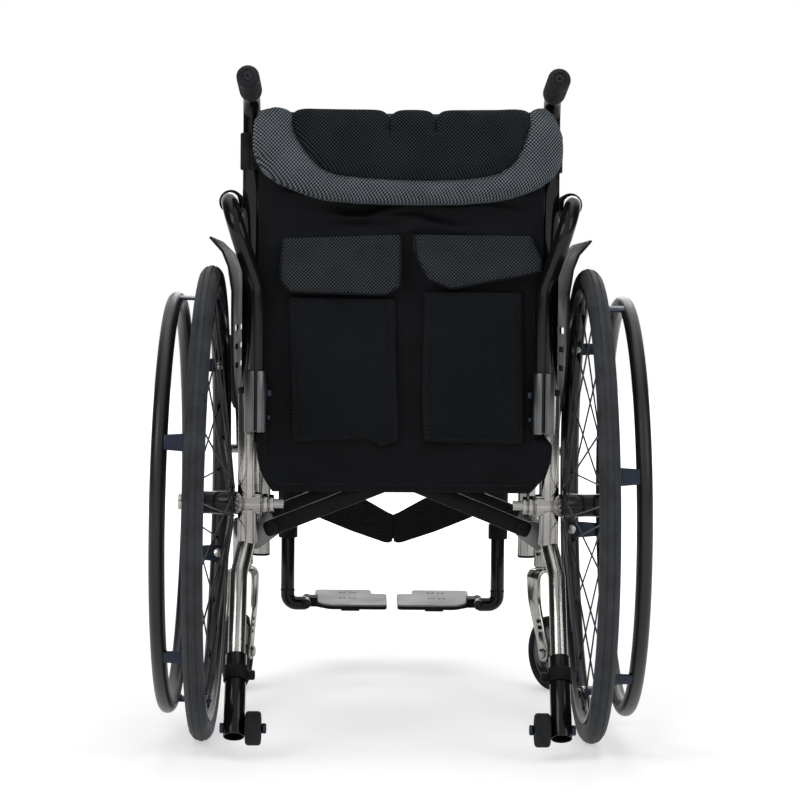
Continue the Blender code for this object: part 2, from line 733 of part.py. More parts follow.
def side_guard():
    """Thin moulded panel whose top flares out over the tyre, with slots and two lugs."""
    x, t = GUARD_X, GUARD_THICKNESS
    lip = GUARD_X + GUARD_FLARE
    section = [(x, GUARD_BOTTOM), (x, GUARD_KNEE - 0.030), (x + 0.005, GUARD_KNEE),
               (x + 0.013, GUARD_KNEE + 0.018), (lip, GUARD_TOP),
               (lip - 0.6 * t, GUARD_TOP + 0.8 * t), (x + 0.012 - 0.6 * t, GUARD_KNEE + 0.018 + 0.8 * t),
               (x + 0.005 - t, GUARD_KNEE + 0.3 * t), (x - t, GUARD_KNEE - 0.029), (x - t, GUARD_BOTTOM)]
    panel = slab([(a, GUARD_BACK, b) for a, b in section], (0, GUARD_FRONT - GUARD_BACK, 0))
    above = GUARD_TOP + 0.01
    outline = [(0.110, GUARD_BOTTOM - 0.01), (0.085, GUARD_BOTTOM + 0.047), (0.010, GUARD_BOTTOM + 0.082),
               (GUARD_BACK, GUARD_BOTTOM + 0.142),
               (GUARD_BACK + 0.001, GUARD_KNEE - 0.006), (GUARD_BACK + 0.030, GUARD_TOP - 0.004),
               (GUARD_BACK + 0.060, above), (GUARD_FRONT - 0.040, above),
               (GUARD_FRONT - 0.001, GUARD_KNEE - 0.010), (GUARD_FRONT - 0.001, GUARD_BOTTOM - 0.01)]
    shape = slab([(x - 0.03, a, b) for a, b in round_corners(outline, 0.022, 3)], (0.10, 0, 0))
    panel = combine(panel, [shape], "INTERSECT")
    slots = []
    for column in range(2):
        for row in range(3):
            y = 0.015 + column * 1.9 * GUARD_SLOT_LENGTH
            z = GUARD_KNEE - 0.128 + row * GUARD_SLOT_PITCH
            flat = round_corners([(y, z), (y + GUARD_SLOT_LENGTH, z),
                                  (y + GUARD_SLOT_LENGTH, z + GUARD_SLOT_HEIGHT), (y, z + GUARD_SLOT_HEIGHT)],
                                 0.45 * GUARD_SLOT_HEIGHT, 1)
            slots.append(slab([(x - 0.02, a, b) for a, b in flat], (0.04, 0, 0)))
    panel = cut(panel, slots)
    lug_end = FRAME_HALF_WIDTH + FRAME_TUBE_RADIUS + GAP
    lugs = [disc("X", lug_end, x - t / 2, 0.007, 8, (0, y, TOP_RAIL_HEIGHT))
            for y in (0.135, GUARD_FRONT - 0.035)]
    return join("guard", [panel] + lugs)


def wheel_lock_mount():
    """Block clamped to the top rail, with the pin that the wheel lock turns on."""
    inner = FRAME_HALF_WIDTH + FRAME_TUBE_RADIUS + GAP
    flat = round_corners([(LOCK_PIVOT_Y - 0.014, TOP_RAIL_HEIGHT - 0.012),
                          (LOCK_PIVOT_Y + 0.014, TOP_RAIL_HEIGHT - 0.012),
                          (LOCK_PIVOT_Y + 0.014, LOCK_PIVOT_HEIGHT + 0.012),
                          (LOCK_PIVOT_Y - 0.014, LOCK_PIVOT_HEIGHT + 0.012)], 0.010, 2)
    plate = slab([(inner, a, b) for a, b in flat], (LOCK_ARM_X - GAP - inner, 0, 0))
    pin = disc("X", LOCK_ARM_X - 0.002, LOCK_ARM_X + LOCK_ARM_THICKNESS + 0.003, 0.004, 8,
               (0, LOCK_PIVOT_Y, LOCK_PIVOT_HEIGHT))
    return join("mount", [plate, pin])


def wheel_lock_lever():
    """Lever with its chrome brake bar just ahead of the tyre and its grip above."""
    x, t = LOCK_ARM_X, LOCK_ARM_THICKNESS
    pivot = Vector((0, LOCK_PIVOT_Y, LOCK_PIVOT_HEIGHT))
    shoe = Vector((0, LOCK_SHOE_Y, LOCK_SHOE_HEIGHT))
    along = (shoe - pivot).normalized()
    across = Vector((0, -along.z, along.y)) * 0.009
    arm = slab([pivot + across + Vector((x, 0, 0)), pivot - across + Vector((x, 0, 0)),
                shoe - across * 0.8 + Vector((x, 0, 0)), shoe + across * 0.8 + Vector((x, 0, 0))], (t, 0, 0))
    hub = disc("X", x + 0.0002, x + t + 0.0006, 0.0115, 12, pivot)
    bar = disc("X", x + 0.0004, 0.252, LOCK_SHOE_RADIUS, 10, shoe)
    grip = tube(bend([(x + 0.0082, pivot.y + 0.006, pivot.z + 0.006), (0.226, pivot.y + 0.010, pivot.z + 0.028),
                      (0.228, pivot.y + 0.018, pivot.z + 0.104)], 0.02, 2), 0.0078, 8)
    lever = join("lever", [hub, arm, bar, grip])
    hole = disc("X", x - 0.01, x + t + 0.0040, 0.004 + 2 * GAP, 10, pivot)
    return cut(lever, [hole])


def anti_tip_tube():
    """Open black tube over the frame's stub, with the roller's through bolt at its foot."""
    _, foot, down = stub_points()
    head = foot - down * TIP_TUBE_LENGTH
    sleeve = rod(head, foot, TIP_TUBE_RADIUS, 12)
    bore = rod(head - down * 0.01, foot + down * 0.01, TIP_TUBE_RADIUS - TIP_TUBE_WALL, 12)
    sleeve = cut(sleeve, [bore])
    centre = foot - down * TIP_BOLT_SETBACK
    inner = centre.x - TIP_TUBE_RADIUS - TIP_ROLLER_WIDTH - 3 * GAP
    outer = centre.x + TIP_TUBE_RADIUS
    bolt = spool("X", [inner - 0.006, (inner - GAP, 0.0062), (outer - 0.0006, TIP_BOLT_RADIUS),
                       (outer + 0.005, 0.0065)], 8, (0, centre.y, centre.z))
    return join("tip", [sleeve, bolt])


def anti_tip_clamp():
    """Collar round the head of the anti-tip tube, with a push ear on its inner side."""
    _, foot, down = stub_points()
    head = foot - down * (TIP_TUBE_LENGTH - 0.016)
    collar = rod(head, head + down * 0.018, TIP_TUBE_RADIUS + 0.0022, 14)
    ear = block((head.x - 0.0235, head.y - 0.013, head.z - 0.0135), (head.x - 0.008, head.y - 0.001, head.z - 0.0025))
    clamp = join("clamp", [collar, ear])
    return cut(clamp, [rod(head - down * 0.02, head + down * 0.04, TIP_TUBE_RADIUS + 2 * GAP, 14)])


def anti_tip_roller():
    _, foot, down = stub_points()
    centre = foot - down * TIP_BOLT_SETBACK
    outer = centre.x - TIP_TUBE_RADIUS - 2 * GAP
    half = TIP_ROLLER_WIDTH / 2
    r = TIP_ROLLER_RADIUS
    bore = TIP_BOLT_RADIUS + 2 * GAP
    roller = turned([(-half, bore), (-half, r - 0.0015), (0.0015 - half, r), (half - 0.0015, r),
                     (half, r - 0.0015), (half, bore)], 14)
    return move(roller, outer - half, centre.y, centre.z)


def caster_fork():
    """Inverted U with slotted, tapering legs, its stem above and the axle bolt below."""
    half, wall = FORK_WIDTH / 2, FORK_WALL
    foot = CASTER_RADIUS - 0.011
    back = -0.06
    outer = bend([(-half, back, foot), (-half, back, FORK_TOP), (half, back, FORK_TOP), (half, back, foot)],
                 0.014, 2)
    inner = bend([(half - wall, back, foot), (half - wall, back, FORK_TOP - wall),
                  (wall - half, back, FORK_TOP - wall), (wall - half, back, foot)], 0.010, 2)
    arch = slab(outer + inner, (0, 0.09, 0))
    deep = FORK_DEPTH / 2
    side = [(deep, FORK_TOP + 0.01), (-deep, FORK_TOP + 0.01), (-deep - 0.002, 0.120),
            (-CASTER_TRAIL - 0.011, CASTER_RADIUS + 0.006), (-CASTER_TRAIL - 0.007, foot),
            (-CASTER_TRAIL + 0.007, foot), (-CASTER_TRAIL + 0.012, CASTER_RADIUS + 0.008), (deep - 0.006, 0.125)]
    profile = slab([(-0.03, a, b) for a, b in round_corners(side, 0.012, 1)], (0.06, 0, 0))
    fork = combine(arch, [profile], "INTERSECT")
    holes = []
    for k in range(FORK_HOLES):
        z = CASTER_RADIUS + 0.026 + 0.0085 * k
        y = -CASTER_TRAIL + 0.005 + 0.0028 * k
        flat = [(y - 0.0055, z + 0.0022), (y - 0.004, z), (y + 0.004, z), (y + 0.0055, z + 0.0022),
                (y + 0.004, z + 0.0045), (y - 0.004, z + 0.0045)]
        holes.append(slab([(-0.03, a, b) for a, b in flat], (0.06, 0, 0)))
    fork = cut(fork, holes)
    stem = turned([(FORK_TOP - 0.003, 0.0), (FORK_TOP - 0.003, 0.010), (BARREL_BOTTOM - GAP, 0.010),
                   (BARREL_BOTTOM - GAP, STEM_RADIUS), (BARREL_TOP - 0.006, STEM_RADIUS),
                   (BARREL_TOP - 0.006, 0.0)], 10, "Z")
    bolt = spool("X", [-half - 0.0045, (0.001 - half, 0.0075), (half - 0.001, 0.004), (half + 0.0045, 0.0075)],
                 10, (0, -CASTER_TRAIL, CASTER_RADIUS))
    return join("fork", [fork, stem, bolt])


def caster_tyre():
    w, r = CASTER_TYRE_WIDTH / 2, CASTER_RADIUS
    base = r - CASTER_TYRE_HEIGHT
    tyre = turned([(w - 0.001, base), (w, r - 0.0045), (0.6 * w, r), (-0.6 * w, r), (-w, r - 0.0045),
                   (0.001 - w, base)], CASTER_SEGMENTS)
    return move(tyre, 0, -CASTER_TRAIL, CASTER_RADIUS)


def caster_rim():
    w, r = CASTER_TYRE_WIDTH / 2 - 0.0025, CASTER_RADIUS - CASTER_TYRE_HEIGHT - GAP
    hub = CASTER_HUB_WIDTH / 2
    bore = 0.004 + 2 * GAP
    rim = turned([(w, r), (w, r - 0.004), (0.004, r - 0.008), (0.004, 0.014), (hub, 0.011), (hub, bore),
                  (-hub, bore), (-hub, 0.011), (-0.004, 0.014), (-0.004, r - 0.008), (-w, r - 0.004),
                  (-w, r)], CASTER_SEGMENTS)
    windows = []
    for k in range(5):
        hole = disc("X", -0.02, 0.02, 0.0052, 6, (0, 0, 0.5 * (r - 0.008 + 0.014)))
        hole.data.transform(Matrix.Rotation(math.tau * (k + 0.27) / 5, 4, "X"))
        windows.append(hole)
    return move(cut(rim, windows), 0, -CASTER_TRAIL, CASTER_RADIUS)


def hanger():
    """Footrest hanger: pivot sleeve at the front post, bent tube and the collar at its foot."""
    w = FRAME_HALF_WIDTH
    sleeve = disc("Z", HANGER_PIVOT_BOTTOM, HANGER_PIVOT_TOP, HANGER_PIVOT_RADIUS, 12, (w, HANGER_PIVOT_Y, 0))
    arm = tube(bend([(w, HANGER_PIVOT_Y, HANGER_TOP), (HANGER_X, HANGER_Y, HANGER_TOP),
                     (HANGER_X, HANGER_Y, HANGER_BOTTOM)], 0.030, 4), HANGER_RADIUS, 12)
    collar = disc("Z", HANGER_BOTTOM - 0.002, COLLAR_TOP, COLLAR_RADIUS, 12, (HANGER_X, HANGER_Y, 0))
    whole = join("hanger", [sleeve, arm, collar])
    bore = disc("Z", HANGER_BOTTOM - 0.01, FOOT_TUBE_TOP + 0.0425, HANGER_BORE, 12, (HANGER_X, HANGER_Y, 0))
    return cut(whole, [bore])


def footrest_tube():
    """Sliding foot tube with its elbow, hinge barrel and hinge pin."""
    x, y, z = HANGER_X, HANGER_Y, ELBOW_HEIGHT
    bent = tube(bend([(x, y, FOOT_TUBE_TOP), (x, y, z), (PLATE_PIVOT_X, y, z)], 0.016, 3), FOOT_TUBE_RADIUS)
    groove = block((x - 0.0012, y - FOOT_TUBE_RADIUS - 0.002, z + 0.020),
                   (x + 0.0012, y - FOOT_TUBE_RADIUS + 0.0018, FOOT_TUBE_TOP + 0.01))
    bent = cut(bent, [groove])
    barrel = spool("Y", [y - 0.0105, (HINGE_SPLIT_Y, HINGE_RADIUS), (HINGE_END_Y + 0.002, HINGE_PIN_RADIUS)],
                   10, (PLATE_PIVOT_X, 0, z))
    return join("foot_tube", [bent, barrel])


def footplate():
    """Notched plate, tilted up a little at its front, with its hinge ear and catch."""
    flat = [(PLATE_OUTER, PLATE_FRONT), (PLATE_INNER + PLATE_NOTCH, PLATE_FRONT),
            (PLATE_INNER + PLATE_NOTCH, PLATE_FRONT - PLATE_NOTCH_LENGTH),
            (PLATE_INNER, PLATE_FRONT - PLATE_NOTCH_LENGTH), (PLATE_INNER, PLATE_BACK)]
    outline = round_corners(flat + [(PLATE_OUTER - 0.016, PLATE_BACK), (PLATE_OUTER, PLATE_BACK + 0.020)], 0.006, 2)
    bottom = PLATE_TOP - PLATE_THICKNESS
    plate = slab([(a, b, bottom) for a, b in outline], (0, 0, PLATE_THICKNESS))
    middle = 0.062
    catch = block((middle - PLATE_TAB_WIDTH / 2, PLATE_BACK + 0.001, bottom - 0.004),
                  (middle + PLATE_TAB_WIDTH / 2, PLATE_BACK + 0.070, bottom + 0.001))
    tilt = Matrix.Translation((0, PLATE_BACK, PLATE_TOP)) @ Matrix.Rotation(PLATE_TILT, 4, "X")
    tilt = tilt @ Matrix.Translation((0, -PLATE_BACK, -PLATE_TOP))
    for piece in (plate, catch):
        piece.data.transform(tilt)
    x, z = PLATE_PIVOT_X, ELBOW_HEIGHT
    barrel = disc("Y", HINGE_SPLIT_Y + GAP, HINGE_END_Y, HINGE_RADIUS, 10, (x, 0, z))
    web = block((PLATE_OUTER - 0.003, HINGE_SPLIT_Y + 0.004, z - 0.0072), (x - 0.002, HINGE_END_Y - 0.003, z - 0.001))
    plate = join("plate", [plate, catch, web, barrel])
    bore = disc("Y", HINGE_SPLIT_Y - 0.01, HINGE_END_Y + 0.01, HINGE_PIN_RADIUS + 2 * GAP, 10, (x, 0, z))
    return cut(plate, [bore])


def brace_bar(back_y, far):
    """One rectangular bar of the right-going brace, rounded past its lower pivot."""
    start = Vector((-BRACE_PIVOT_X, 0, BRACE_PIVOT_HEIGHT))
    end = Vector((SEAT_TUBE_X, 0, SEAT_TUBE_HEIGHT))
    along = (end - start).normalized()
    across = Vector((-along.z, 0, along.x)) * (BRACE_BAR_HEIGHT / 2)
    nose = start - along * 0.011
    flat = [nose - across * 0.55, nose + across * 0.55, start - along * 0.006 + across,
            end + across, end - across, start - along * 0.006 - across]
    at = Vector((0, back_y, 0))
    return slab([point + at for point in flat], (0, far, 0))


def cross_brace(right_going):
    """Half of the folding X: a rear and a front bar welded to one seat tube."""
    offset = -BRACE_BAR_DEPTH if right_going else 2 * GAP
    bars = [brace_bar(y + offset, BRACE_BAR_DEPTH) for y in (REAR_BRACE_Y, FRONT_BRACE_Y)]
    seat_tube = tube([(SEAT_TUBE_X, SEAT_TUBE_BACK, SEAT_TUBE_HEIGHT),
                      (SEAT_TUBE_X, SEAT_TUBE_FRONT, SEAT_TUBE_HEIGHT)], SEAT_TUBE_RADIUS)
    brace = join("brace", bars + [seat_tube])
    pivot = (-BRACE_PIVOT_X, 0, BRACE_PIVOT_HEIGHT)
    centre = (0, 0, BRACE_CROSS_HEIGHT)
    holes = [disc("Y", y - 0.04, y + 0.04, BRACE_BOLT_RADIUS + 2 * GAP, 12, pivot)
             for y in (REAR_BRACE_Y, FRONT_BRACE_Y)]
    if not right_going:
        holes += [disc("Y", y - 0.04, y + 0.04, BRACE_BOLT_RADIUS + 2 * GAP, 12, centre)
                  for y in (REAR_BRACE_Y, FRONT_BRACE_Y)]
        return sided(cut(brace, holes), -1.0)
    brace = cut(brace, holes)
    pins = []
    for y in (REAR_BRACE_Y, FRONT_BRACE_Y):
        far_side = y + 2 * GAP + BRACE_BAR_DEPTH + GAP
        near = y - BRACE_BAR_DEPTH
        pins.append(spool("Y", [near - 0.003, (near + 0.0005, 0.0085), (far_side, BRACE_BOLT_RADIUS),
                                (far_side + 0.004, 0.0085)], 10, centre))
    return join("brace", [brace] + pins)


def pillow(outline, face_y, layers):
    """Crowned soft form on a flat face: its outline shrinks towards the back, layer by layer."""
    centre = sum((Vector(point) for point in outline), Vector((0, 0))) / len(outline)
    rings = []
    for back, inset in layers:
        ring = []
        for point in outline:
            out = Vector(point) - centre
            drawn = centre + out * (1 - inset / out.length)
            ring.append(Vector((drawn.x, face_y - back, drawn.y)))
        rings.append(ring)
    return solid("pillow", skin(rings))


def back_upholstery():
    """Sheet slung between the canes: rounded low corners, strap notches and folds under the pad."""
    half = CANE_X - math.sqrt(CANE_RADIUS ** 2 - (0.6 * CANE_RADIUS) ** 2) - 2 * GAP
    notch = CANE_X - CANE_RADIUS - STRAP_THICKNESS - 2 * GAP
    rows = [(BACK_BOTTOM, half - 0.028), (BACK_BOTTOM + 0.008, half - 0.017), (BACK_BOTTOM + 0.029, half - 0.010),
            (BACK_BOTTOM + 0.059, half), (BACK_BOTTOM + 0.189, half), (FOLD_BOTTOM, half)]
    fold_rows = FOLD_COUNT * 4
    rows += [(FOLD_BOTTOM + (FOLD_TOP - FOLD_BOTTOM) * k / fold_rows, half) for k in range(1, fold_rows + 1)]
    rows += [(STRAP_BOTTOM - 0.003, half), (STRAP_BOTTOM - 0.002, notch), (STRAP_TOP + 0.002, notch),
             (STRAP_TOP + 0.003, half), (BACK_TOP, half)]

    def forward(share, z):
        """Depth of the folds, which fade out at the canes and run up a little to one side."""
        along = (z - FOLD_BOTTOM) / (FOLD_TOP - FOLD_BOTTOM)
        if not 0 < along < 1:
            return 0.0
        fade = (1 - share ** 4) * math.sin(math.pi * along)
        return FOLD_DEPTH * fade * (0.5 - 0.5 * math.cos(math.tau * (FOLD_COUNT * along + 0.35 * share)))

    shares = [-1 + 2 * k / FOLD_COLUMNS for k in range(FOLD_COLUMNS + 1)]
    rings = []
    for z, width in rows:
        near = [(share * width, BACK_Y + forward(share, z), z) for share in shares]
        rings.append(near + [(x, y + BACK_SHEET_DEPTH, z) for x, y, z in reversed(near)])
    return solid("upholstery", skin(rings))


def backrest_pad():
    """Thick padded band round the top of the back, wider than the canes on its right."""
    x = PAD_OFFSET_X
    z = BACK_TOP
    outline = round_corners([(x - 0.192, z - 0.018), (x - 0.186, z - 0.070), (x - 0.140, z - 0.102),
                             (x, z - 0.108), (x + 0.140, z - 0.102), (x + 0.190, z - 0.074),
                             (x + 0.193, z - 0.022), (x + 0.150, z + 0.010), (x, z + 0.017),
                             (x - 0.150, z + 0.013)], 0.025, 3)
    face = -CANE_RADIUS - STRAP_THICKNESS - 2 * GAP
    return pillow(outline, face, [(0.0, 0.004), (0.008, 0.0), (0.020, 0.002), (0.028, 0.010), (0.032, 0.024)])


def pocket(left, right, low, high, face_y):
    outline = round_corners([(left, high), (left, low), (right, low), (right, high)], 0.012, 3)
    return pillow(outline, face_y, [(0.0, 0.0), (0.012, 0.0005), (0.018, 0.005), (0.021, 0.014)])


def pocket_flap(points, face_y):
    return pillow(round_corners(points, 0.007, 2), face_y, [(0.0, 0.0), (0.006, 0.0005), (0.009, 0.004)])


def seat_sling():
    """Seat cover laid over both seat tubes, sagging between them."""
    top = SEAT_TUBE_HEIGHT + SEAT_TUBE_RADIUS + GAP
    half = SEAT_TUBE_X + 0.010
    drop = [(half, 0.0), (SEAT_TUBE_X - 0.008, 0.0), (0.150, 0.0035), (0.085, 0.0085), (0.0, 0.0110)]
    right = [(x, top - down) for x, down in drop]
    under = right + [(-x, z) for x, z in reversed(right[:-1])]
    over = [(x, z + 0.007) for x, z in reversed(under)]
    return slab([(a, SEAT_TUBE_BACK + 0.004, b) for a, b in under + over],
                (0, SEAT_TUBE_FRONT - SEAT_TUBE_BACK - 0.008, 0))


def calf_strap():
    """Webbing sling hung between the hangers, lowest in the middle."""
    reach = HANGER_X - HANGER_RADIUS - 2 * GAP
    half = [(0.0, 0.245), (0.066, 0.268), (reach, 0.292), (reach, 0.252), (0.010, 0.201), (0.0, 0.204)]
    outline = half + [(-x, z) for x, z in reversed(half[1:-1])]
    return slab([(a, HANGER_Y - 0.0015, b) for a, b in outline], (0, 0.003, 0))


def cane_strap():
    """Hook-and-loop strap that holds the pad to its cane."""
    inner = CANE_RADIUS + 2 * GAP
    outer = CANE_RADIUS + STRAP_THICKNESS
    ring = turned([(STRAP_BOTTOM, inner), (STRAP_BOTTOM, outer), (STRAP_TOP, outer), (STRAP_TOP, inner)], 12, "Z")
    return move(ring, CANE_X, 0, 0)


def side_pieces():
    """Each plain piece of a side: the joint that it moves with, its shape and its finish."""
    return {
        "back_cane": ("frame", back_cane(), "black_paint"), "push_grip": ("frame", push_grip(), "rubber"),
        "armrest_socket": ("frame", armrest_socket(), "satin_steel"),
        "side_guard": ("frame", side_guard(), "plastic"), "cane_strap": ("frame", cane_strap(), "webbing"),
        "wheel_lock_mount": ("frame", wheel_lock_mount(), "plastic"),
        "armrest_tube": ("armrest", armrest_tube(), "black_paint"),
        "armrest_pad": ("armrest", armrest_pad(), "foam"),
        "wheel_lock_lever": ("wheel_lock", wheel_lock_lever(), "black_paint"),
        "anti_tip_tube": ("anti_tip", anti_tip_tube(), "black_paint"),
        "anti_tip_clamp": ("anti_tip", anti_tip_clamp(), "plastic"),
        "anti_tip_roller": ("roller", anti_tip_roller(), "rubber"),
        "hanger": ("hanger", hanger(), "black_paint"),
        "footrest_tube": ("foot_tube", footrest_tube(), "black_paint"),
        "footplate": ("footplate", footplate(), "footplate"),
    }


def side_axes(name, side, frame):
    """An empty on the axis of each joint of a side."""
    _, foot, down = stub_points()
    roller = foot - down * TIP_BOLT_SETBACK
    points = {
        "armrest": ("frame", (SOCKET_X, SOCKET_Y, SOCKET_BOTTOM)),
        "wheel_lock": ("frame", (LOCK_ARM_X, LOCK_PIVOT_Y, LOCK_PIVOT_HEIGHT)),
        "anti_tip": ("frame", foot - down * TIP_TUBE_LENGTH),
        "roller": ("anti_tip", roller),
        "hanger": ("frame", (FRAME_HALF_WIDTH, HANGER_PIVOT_Y, HANGER_PIVOT_BOTTOM)),
        "foot_tube": ("hanger", (HANGER_X, HANGER_Y, HANGER_BOTTOM)),
        "footplate": ("foot_tube", (PLATE_PIVOT_X, HINGE_SPLIT_Y, ELBOW_HEIGHT)),
    }
    axes = {"frame": frame}
    for joint, (parent, (x, y, z)) in points.items():
        axes[joint] = joint_axis(f"{name}_{joint}_axis", axes[parent], (side * x, y, z))
    return axes


def build_side(name, side, frame, finishes):
    """Everything that the chair has once on each side."""
    body = side_frame(side)
    body.name = name + "_side_frame"
    hang(sided(body, side), frame, finishes["chrome"])
    rear_wheel(name, side, frame, finishes)
    axes = side_axes(name, side, frame)
    for part, (joint, piece, surface) in side_pieces().items():
        piece.name = name + "_" + part
        hang(sided(piece, side), axes[joint], finishes[surface])
    swivel = LEFT_SWIVEL if side < 0 else RIGHT_SWIVEL
    caster = joint_axis(name + "_caster_axis", frame, (side * STEM_X, STEM_Y, 0), (0, 0, swivel))
    for part, piece, surface in (("caster_fork", caster_fork(), "chrome"), ("caster_tyre", caster_tyre(), "rubber"),
                                 ("caster_rim", caster_rim(), "satin_steel")):
        piece.name = name + "_" + part
        place(piece, caster, finishes[surface])


def build_brace(left, finishes):
    """The folding X and the seat: the left frame carries one half, which carries all the rest."""
    fold = joint_axis("fold_axis", left, (-BRACE_PIVOT_X, 0, BRACE_PIVOT_HEIGHT))
    cross = joint_axis("cross_axis", fold, (0, 0, BRACE_CROSS_HEIGHT))
    seat = joint_axis("seat_axis", fold, (SEAT_TUBE_X, 0, SEAT_TUBE_HEIGHT))
    right = joint_axis("right_frame_axis", cross, (BRACE_PIVOT_X, 0, BRACE_PIVOT_HEIGHT))
    pieces = {
        "left_cross_brace": (cross_brace(True), fold, "black_paint"),
        "right_cross_brace": (cross_brace(False), cross, "black_paint"),
        "seat_sling": (seat_sling(), seat, "nylon"),
    }
    for name, (piece, holder, surface) in pieces.items():
        piece.name = name
        hang(piece, holder, finishes[surface])
    return right


def build_back(left, finishes):
    """The back with its pad, pockets and flaps, and the calf strap."""
    back = BACK_Y - GAP
    z = FOLD_BOTTOM
    left_flap = [(-0.153, z - 0.0005), (-0.150, z - 0.0795), (0.001, z - 0.0795), (0.002, z - 0.0005)]
    right_flap = [(0.014, z), (0.020, z - 0.0695), (0.166, z - 0.048), (0.174, z + 0.004)]
    pieces = {
        "back_upholstery": (back_upholstery(), left, "nylon"),
        "backrest_pad": (backrest_pad(), left, "mesh"),
        "left_pocket": (pocket(-0.139, 0.001, z - 0.261, z - 0.080, back), left, "mesh"),
        "right_pocket": (pocket(0.0285, 0.1565, z - 0.260, z - 0.070, back), left, "mesh"),
        "calf_strap": (calf_strap(), left, "webbing"),
    }
    for name, outline in (("left", left_flap), ("right", right_flap)):
        hem = joint_axis(name + "_flap_axis", left, (outline[0][0], back, outline[0][1]))
        pieces[name + "_pocket_flap"] = (pocket_flap(outline, back), hem, "mesh")
    for name, (piece, holder, surface) in pieces.items():
        piece.name = name
        hang(piece, holder, finishes[surface])


def main():
    clear_scene()
    finishes = {
        "chrome": finish("chrome", (0.62, 0.62, 0.62), 0.16, 1.0),
        "satin_steel": finish("satin_steel", (0.50, 0.51, 0.53), 0.36, 1.0),
        "black_paint": finish("black_paint", (0.012, 0.012, 0.014), 0.28),
        "rubber": finish("rubber", (0.030, 0.032, 0.036), 0.72),
        "plastic": finish("plastic", (0.018, 0.018, 0.020), 0.55),
        "footplate": finish("footplate", (0.26, 0.27, 0.29), 0.52),
        "foam": finish("foam", (0.015, 0.015, 0.016), 0.85),
        "nylon": finish("nylon", (0.010, 0.010, 0.012), 0.48),
        "mesh": finish("mesh", (0.045, 0.055, 0.062), 0.80),
        "webbing": finish("webbing", (0.014, 0.014, 0.015), 0.80),
    }
    chair = empty("chair", None, (0, -MIDDLE_Y, 0))
    left = joint_axis("left_frame_origin", chair, (0, 0, 0))
    right = build_brace(left, finishes)
    build_side("left", -1.0, left, finishes)
    build_side("right", 1.0, right, finishes)
    build_back(left, finishes)


main()
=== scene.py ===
"""Looks of a folding self-propelled wheelchair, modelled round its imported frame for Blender 4.5.

The pieces are made in the chair's own space, whose origin lies on the rear axle line at
floor level, and are moved back by half of the chair's length as each one is finished.
The right side is modelled, and the left side is its mirror image.
"""
from math import cos, degrees, exp, pi, radians, sin, sqrt, tan, tau

import bpy
from mathutils import Matrix, Vector
from mathutils.bvhtree import BVHTree


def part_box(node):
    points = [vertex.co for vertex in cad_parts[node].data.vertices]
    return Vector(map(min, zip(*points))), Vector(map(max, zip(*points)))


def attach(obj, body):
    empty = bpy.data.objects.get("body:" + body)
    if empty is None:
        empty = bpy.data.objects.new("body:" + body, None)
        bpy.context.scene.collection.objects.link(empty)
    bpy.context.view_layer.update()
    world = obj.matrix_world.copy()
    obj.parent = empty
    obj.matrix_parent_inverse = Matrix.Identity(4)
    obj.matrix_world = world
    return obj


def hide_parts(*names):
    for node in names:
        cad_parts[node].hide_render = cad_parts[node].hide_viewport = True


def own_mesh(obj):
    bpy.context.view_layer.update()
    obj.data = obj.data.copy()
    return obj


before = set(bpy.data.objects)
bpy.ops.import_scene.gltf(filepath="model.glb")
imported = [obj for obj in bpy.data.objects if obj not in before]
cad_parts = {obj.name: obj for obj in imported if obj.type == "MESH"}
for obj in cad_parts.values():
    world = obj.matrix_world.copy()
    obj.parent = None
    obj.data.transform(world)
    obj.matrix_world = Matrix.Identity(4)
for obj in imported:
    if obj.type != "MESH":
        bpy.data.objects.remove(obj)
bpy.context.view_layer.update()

bl_info = {
    "name": "Folding Wheelchair",
    "version": (1, 0, 0),
    "blender": (4, 5, 0),
    "location": "3D View > Sidebar > Wheelchair",
    "description": "Models and finishes the visible pieces of a folding wheelchair",
    "category": "Object",
}

AXLE_Y = (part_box("left_tyre")[0][1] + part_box("left_tyre")[1][1]) / 2
AXLE_HEIGHT = (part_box("left_tyre")[0][2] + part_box("left_tyre")[1][2]) / 2
HALF_TRACK = 0.2377
CAMBER = radians(0.66)
SIDES = {"left": -1, "right": 1}
BEND_STEPS = 8

CAMERA_PLACE, CAMERA_LENS = (-0.0427, -3.26175, 0.5489), 110.6
CAMERA_YAW, CAMERA_PITCH, CAMERA_ROLL = 0.0142, 0.0400, 0.0096
FLOOR_GLOW, WORLD_LIGHT = 0.45, 0.40
DARK_SIDE, FLOOR_SIZE, LAMP_AIM = 0.05, 24.0, (0, 0, 0.4)
LAMPS = {
    "lamp_left": ((-2.2, -2.4, 2.4), (1.6, 1.6), 34.0),
    "lamp_right": ((2.4, -2.0, 1.8), (1.4, 1.8), 22.0),
    "lamp_top": ((0.0, 0.2, 3.0), (2.4, 2.4), 12.0),
    "lamp_front": ((0.3, 3.0, 1.8), (1.8, 1.4), 20.0),
}

# Wheels
GROOVE_OFFSET, GROOVE_HALF_WIDTH, GROOVE_DEPTH = 0.0038, 0.0012, 0.0011
TYRE_HEIGHT, WHEEL_STEPS = 0.0245, 128
RIM_WIDTH, RIM_HEIGHT = 0.021, 0.0105
SPOKE_SKEW, SPOKE_RADIUS = radians(52), 0.0011
HUB_INNER, HUB_OUTER, HUB_BORE = -0.0327, 0.0310, 0.0063
INNER_FLANGE, OUTER_FLANGE, FLANGE_RADIUS = -0.0307, 0.0290, 0.0205
RING_TUBE, RING_OFFSET = 0.0095, 0.0428
TAB_WIDTH, TAB_THICKNESS, TAB_COUNT = 0.022, 0.0026, 6
LEFT_TABS, RIGHT_TABS = radians(40), radians(48)
TAB_COLOUR = (0.028, 0.034, 0.050)
AXLE_SLEEVE_INNER, CLEARANCE = 0.172, 0.0003

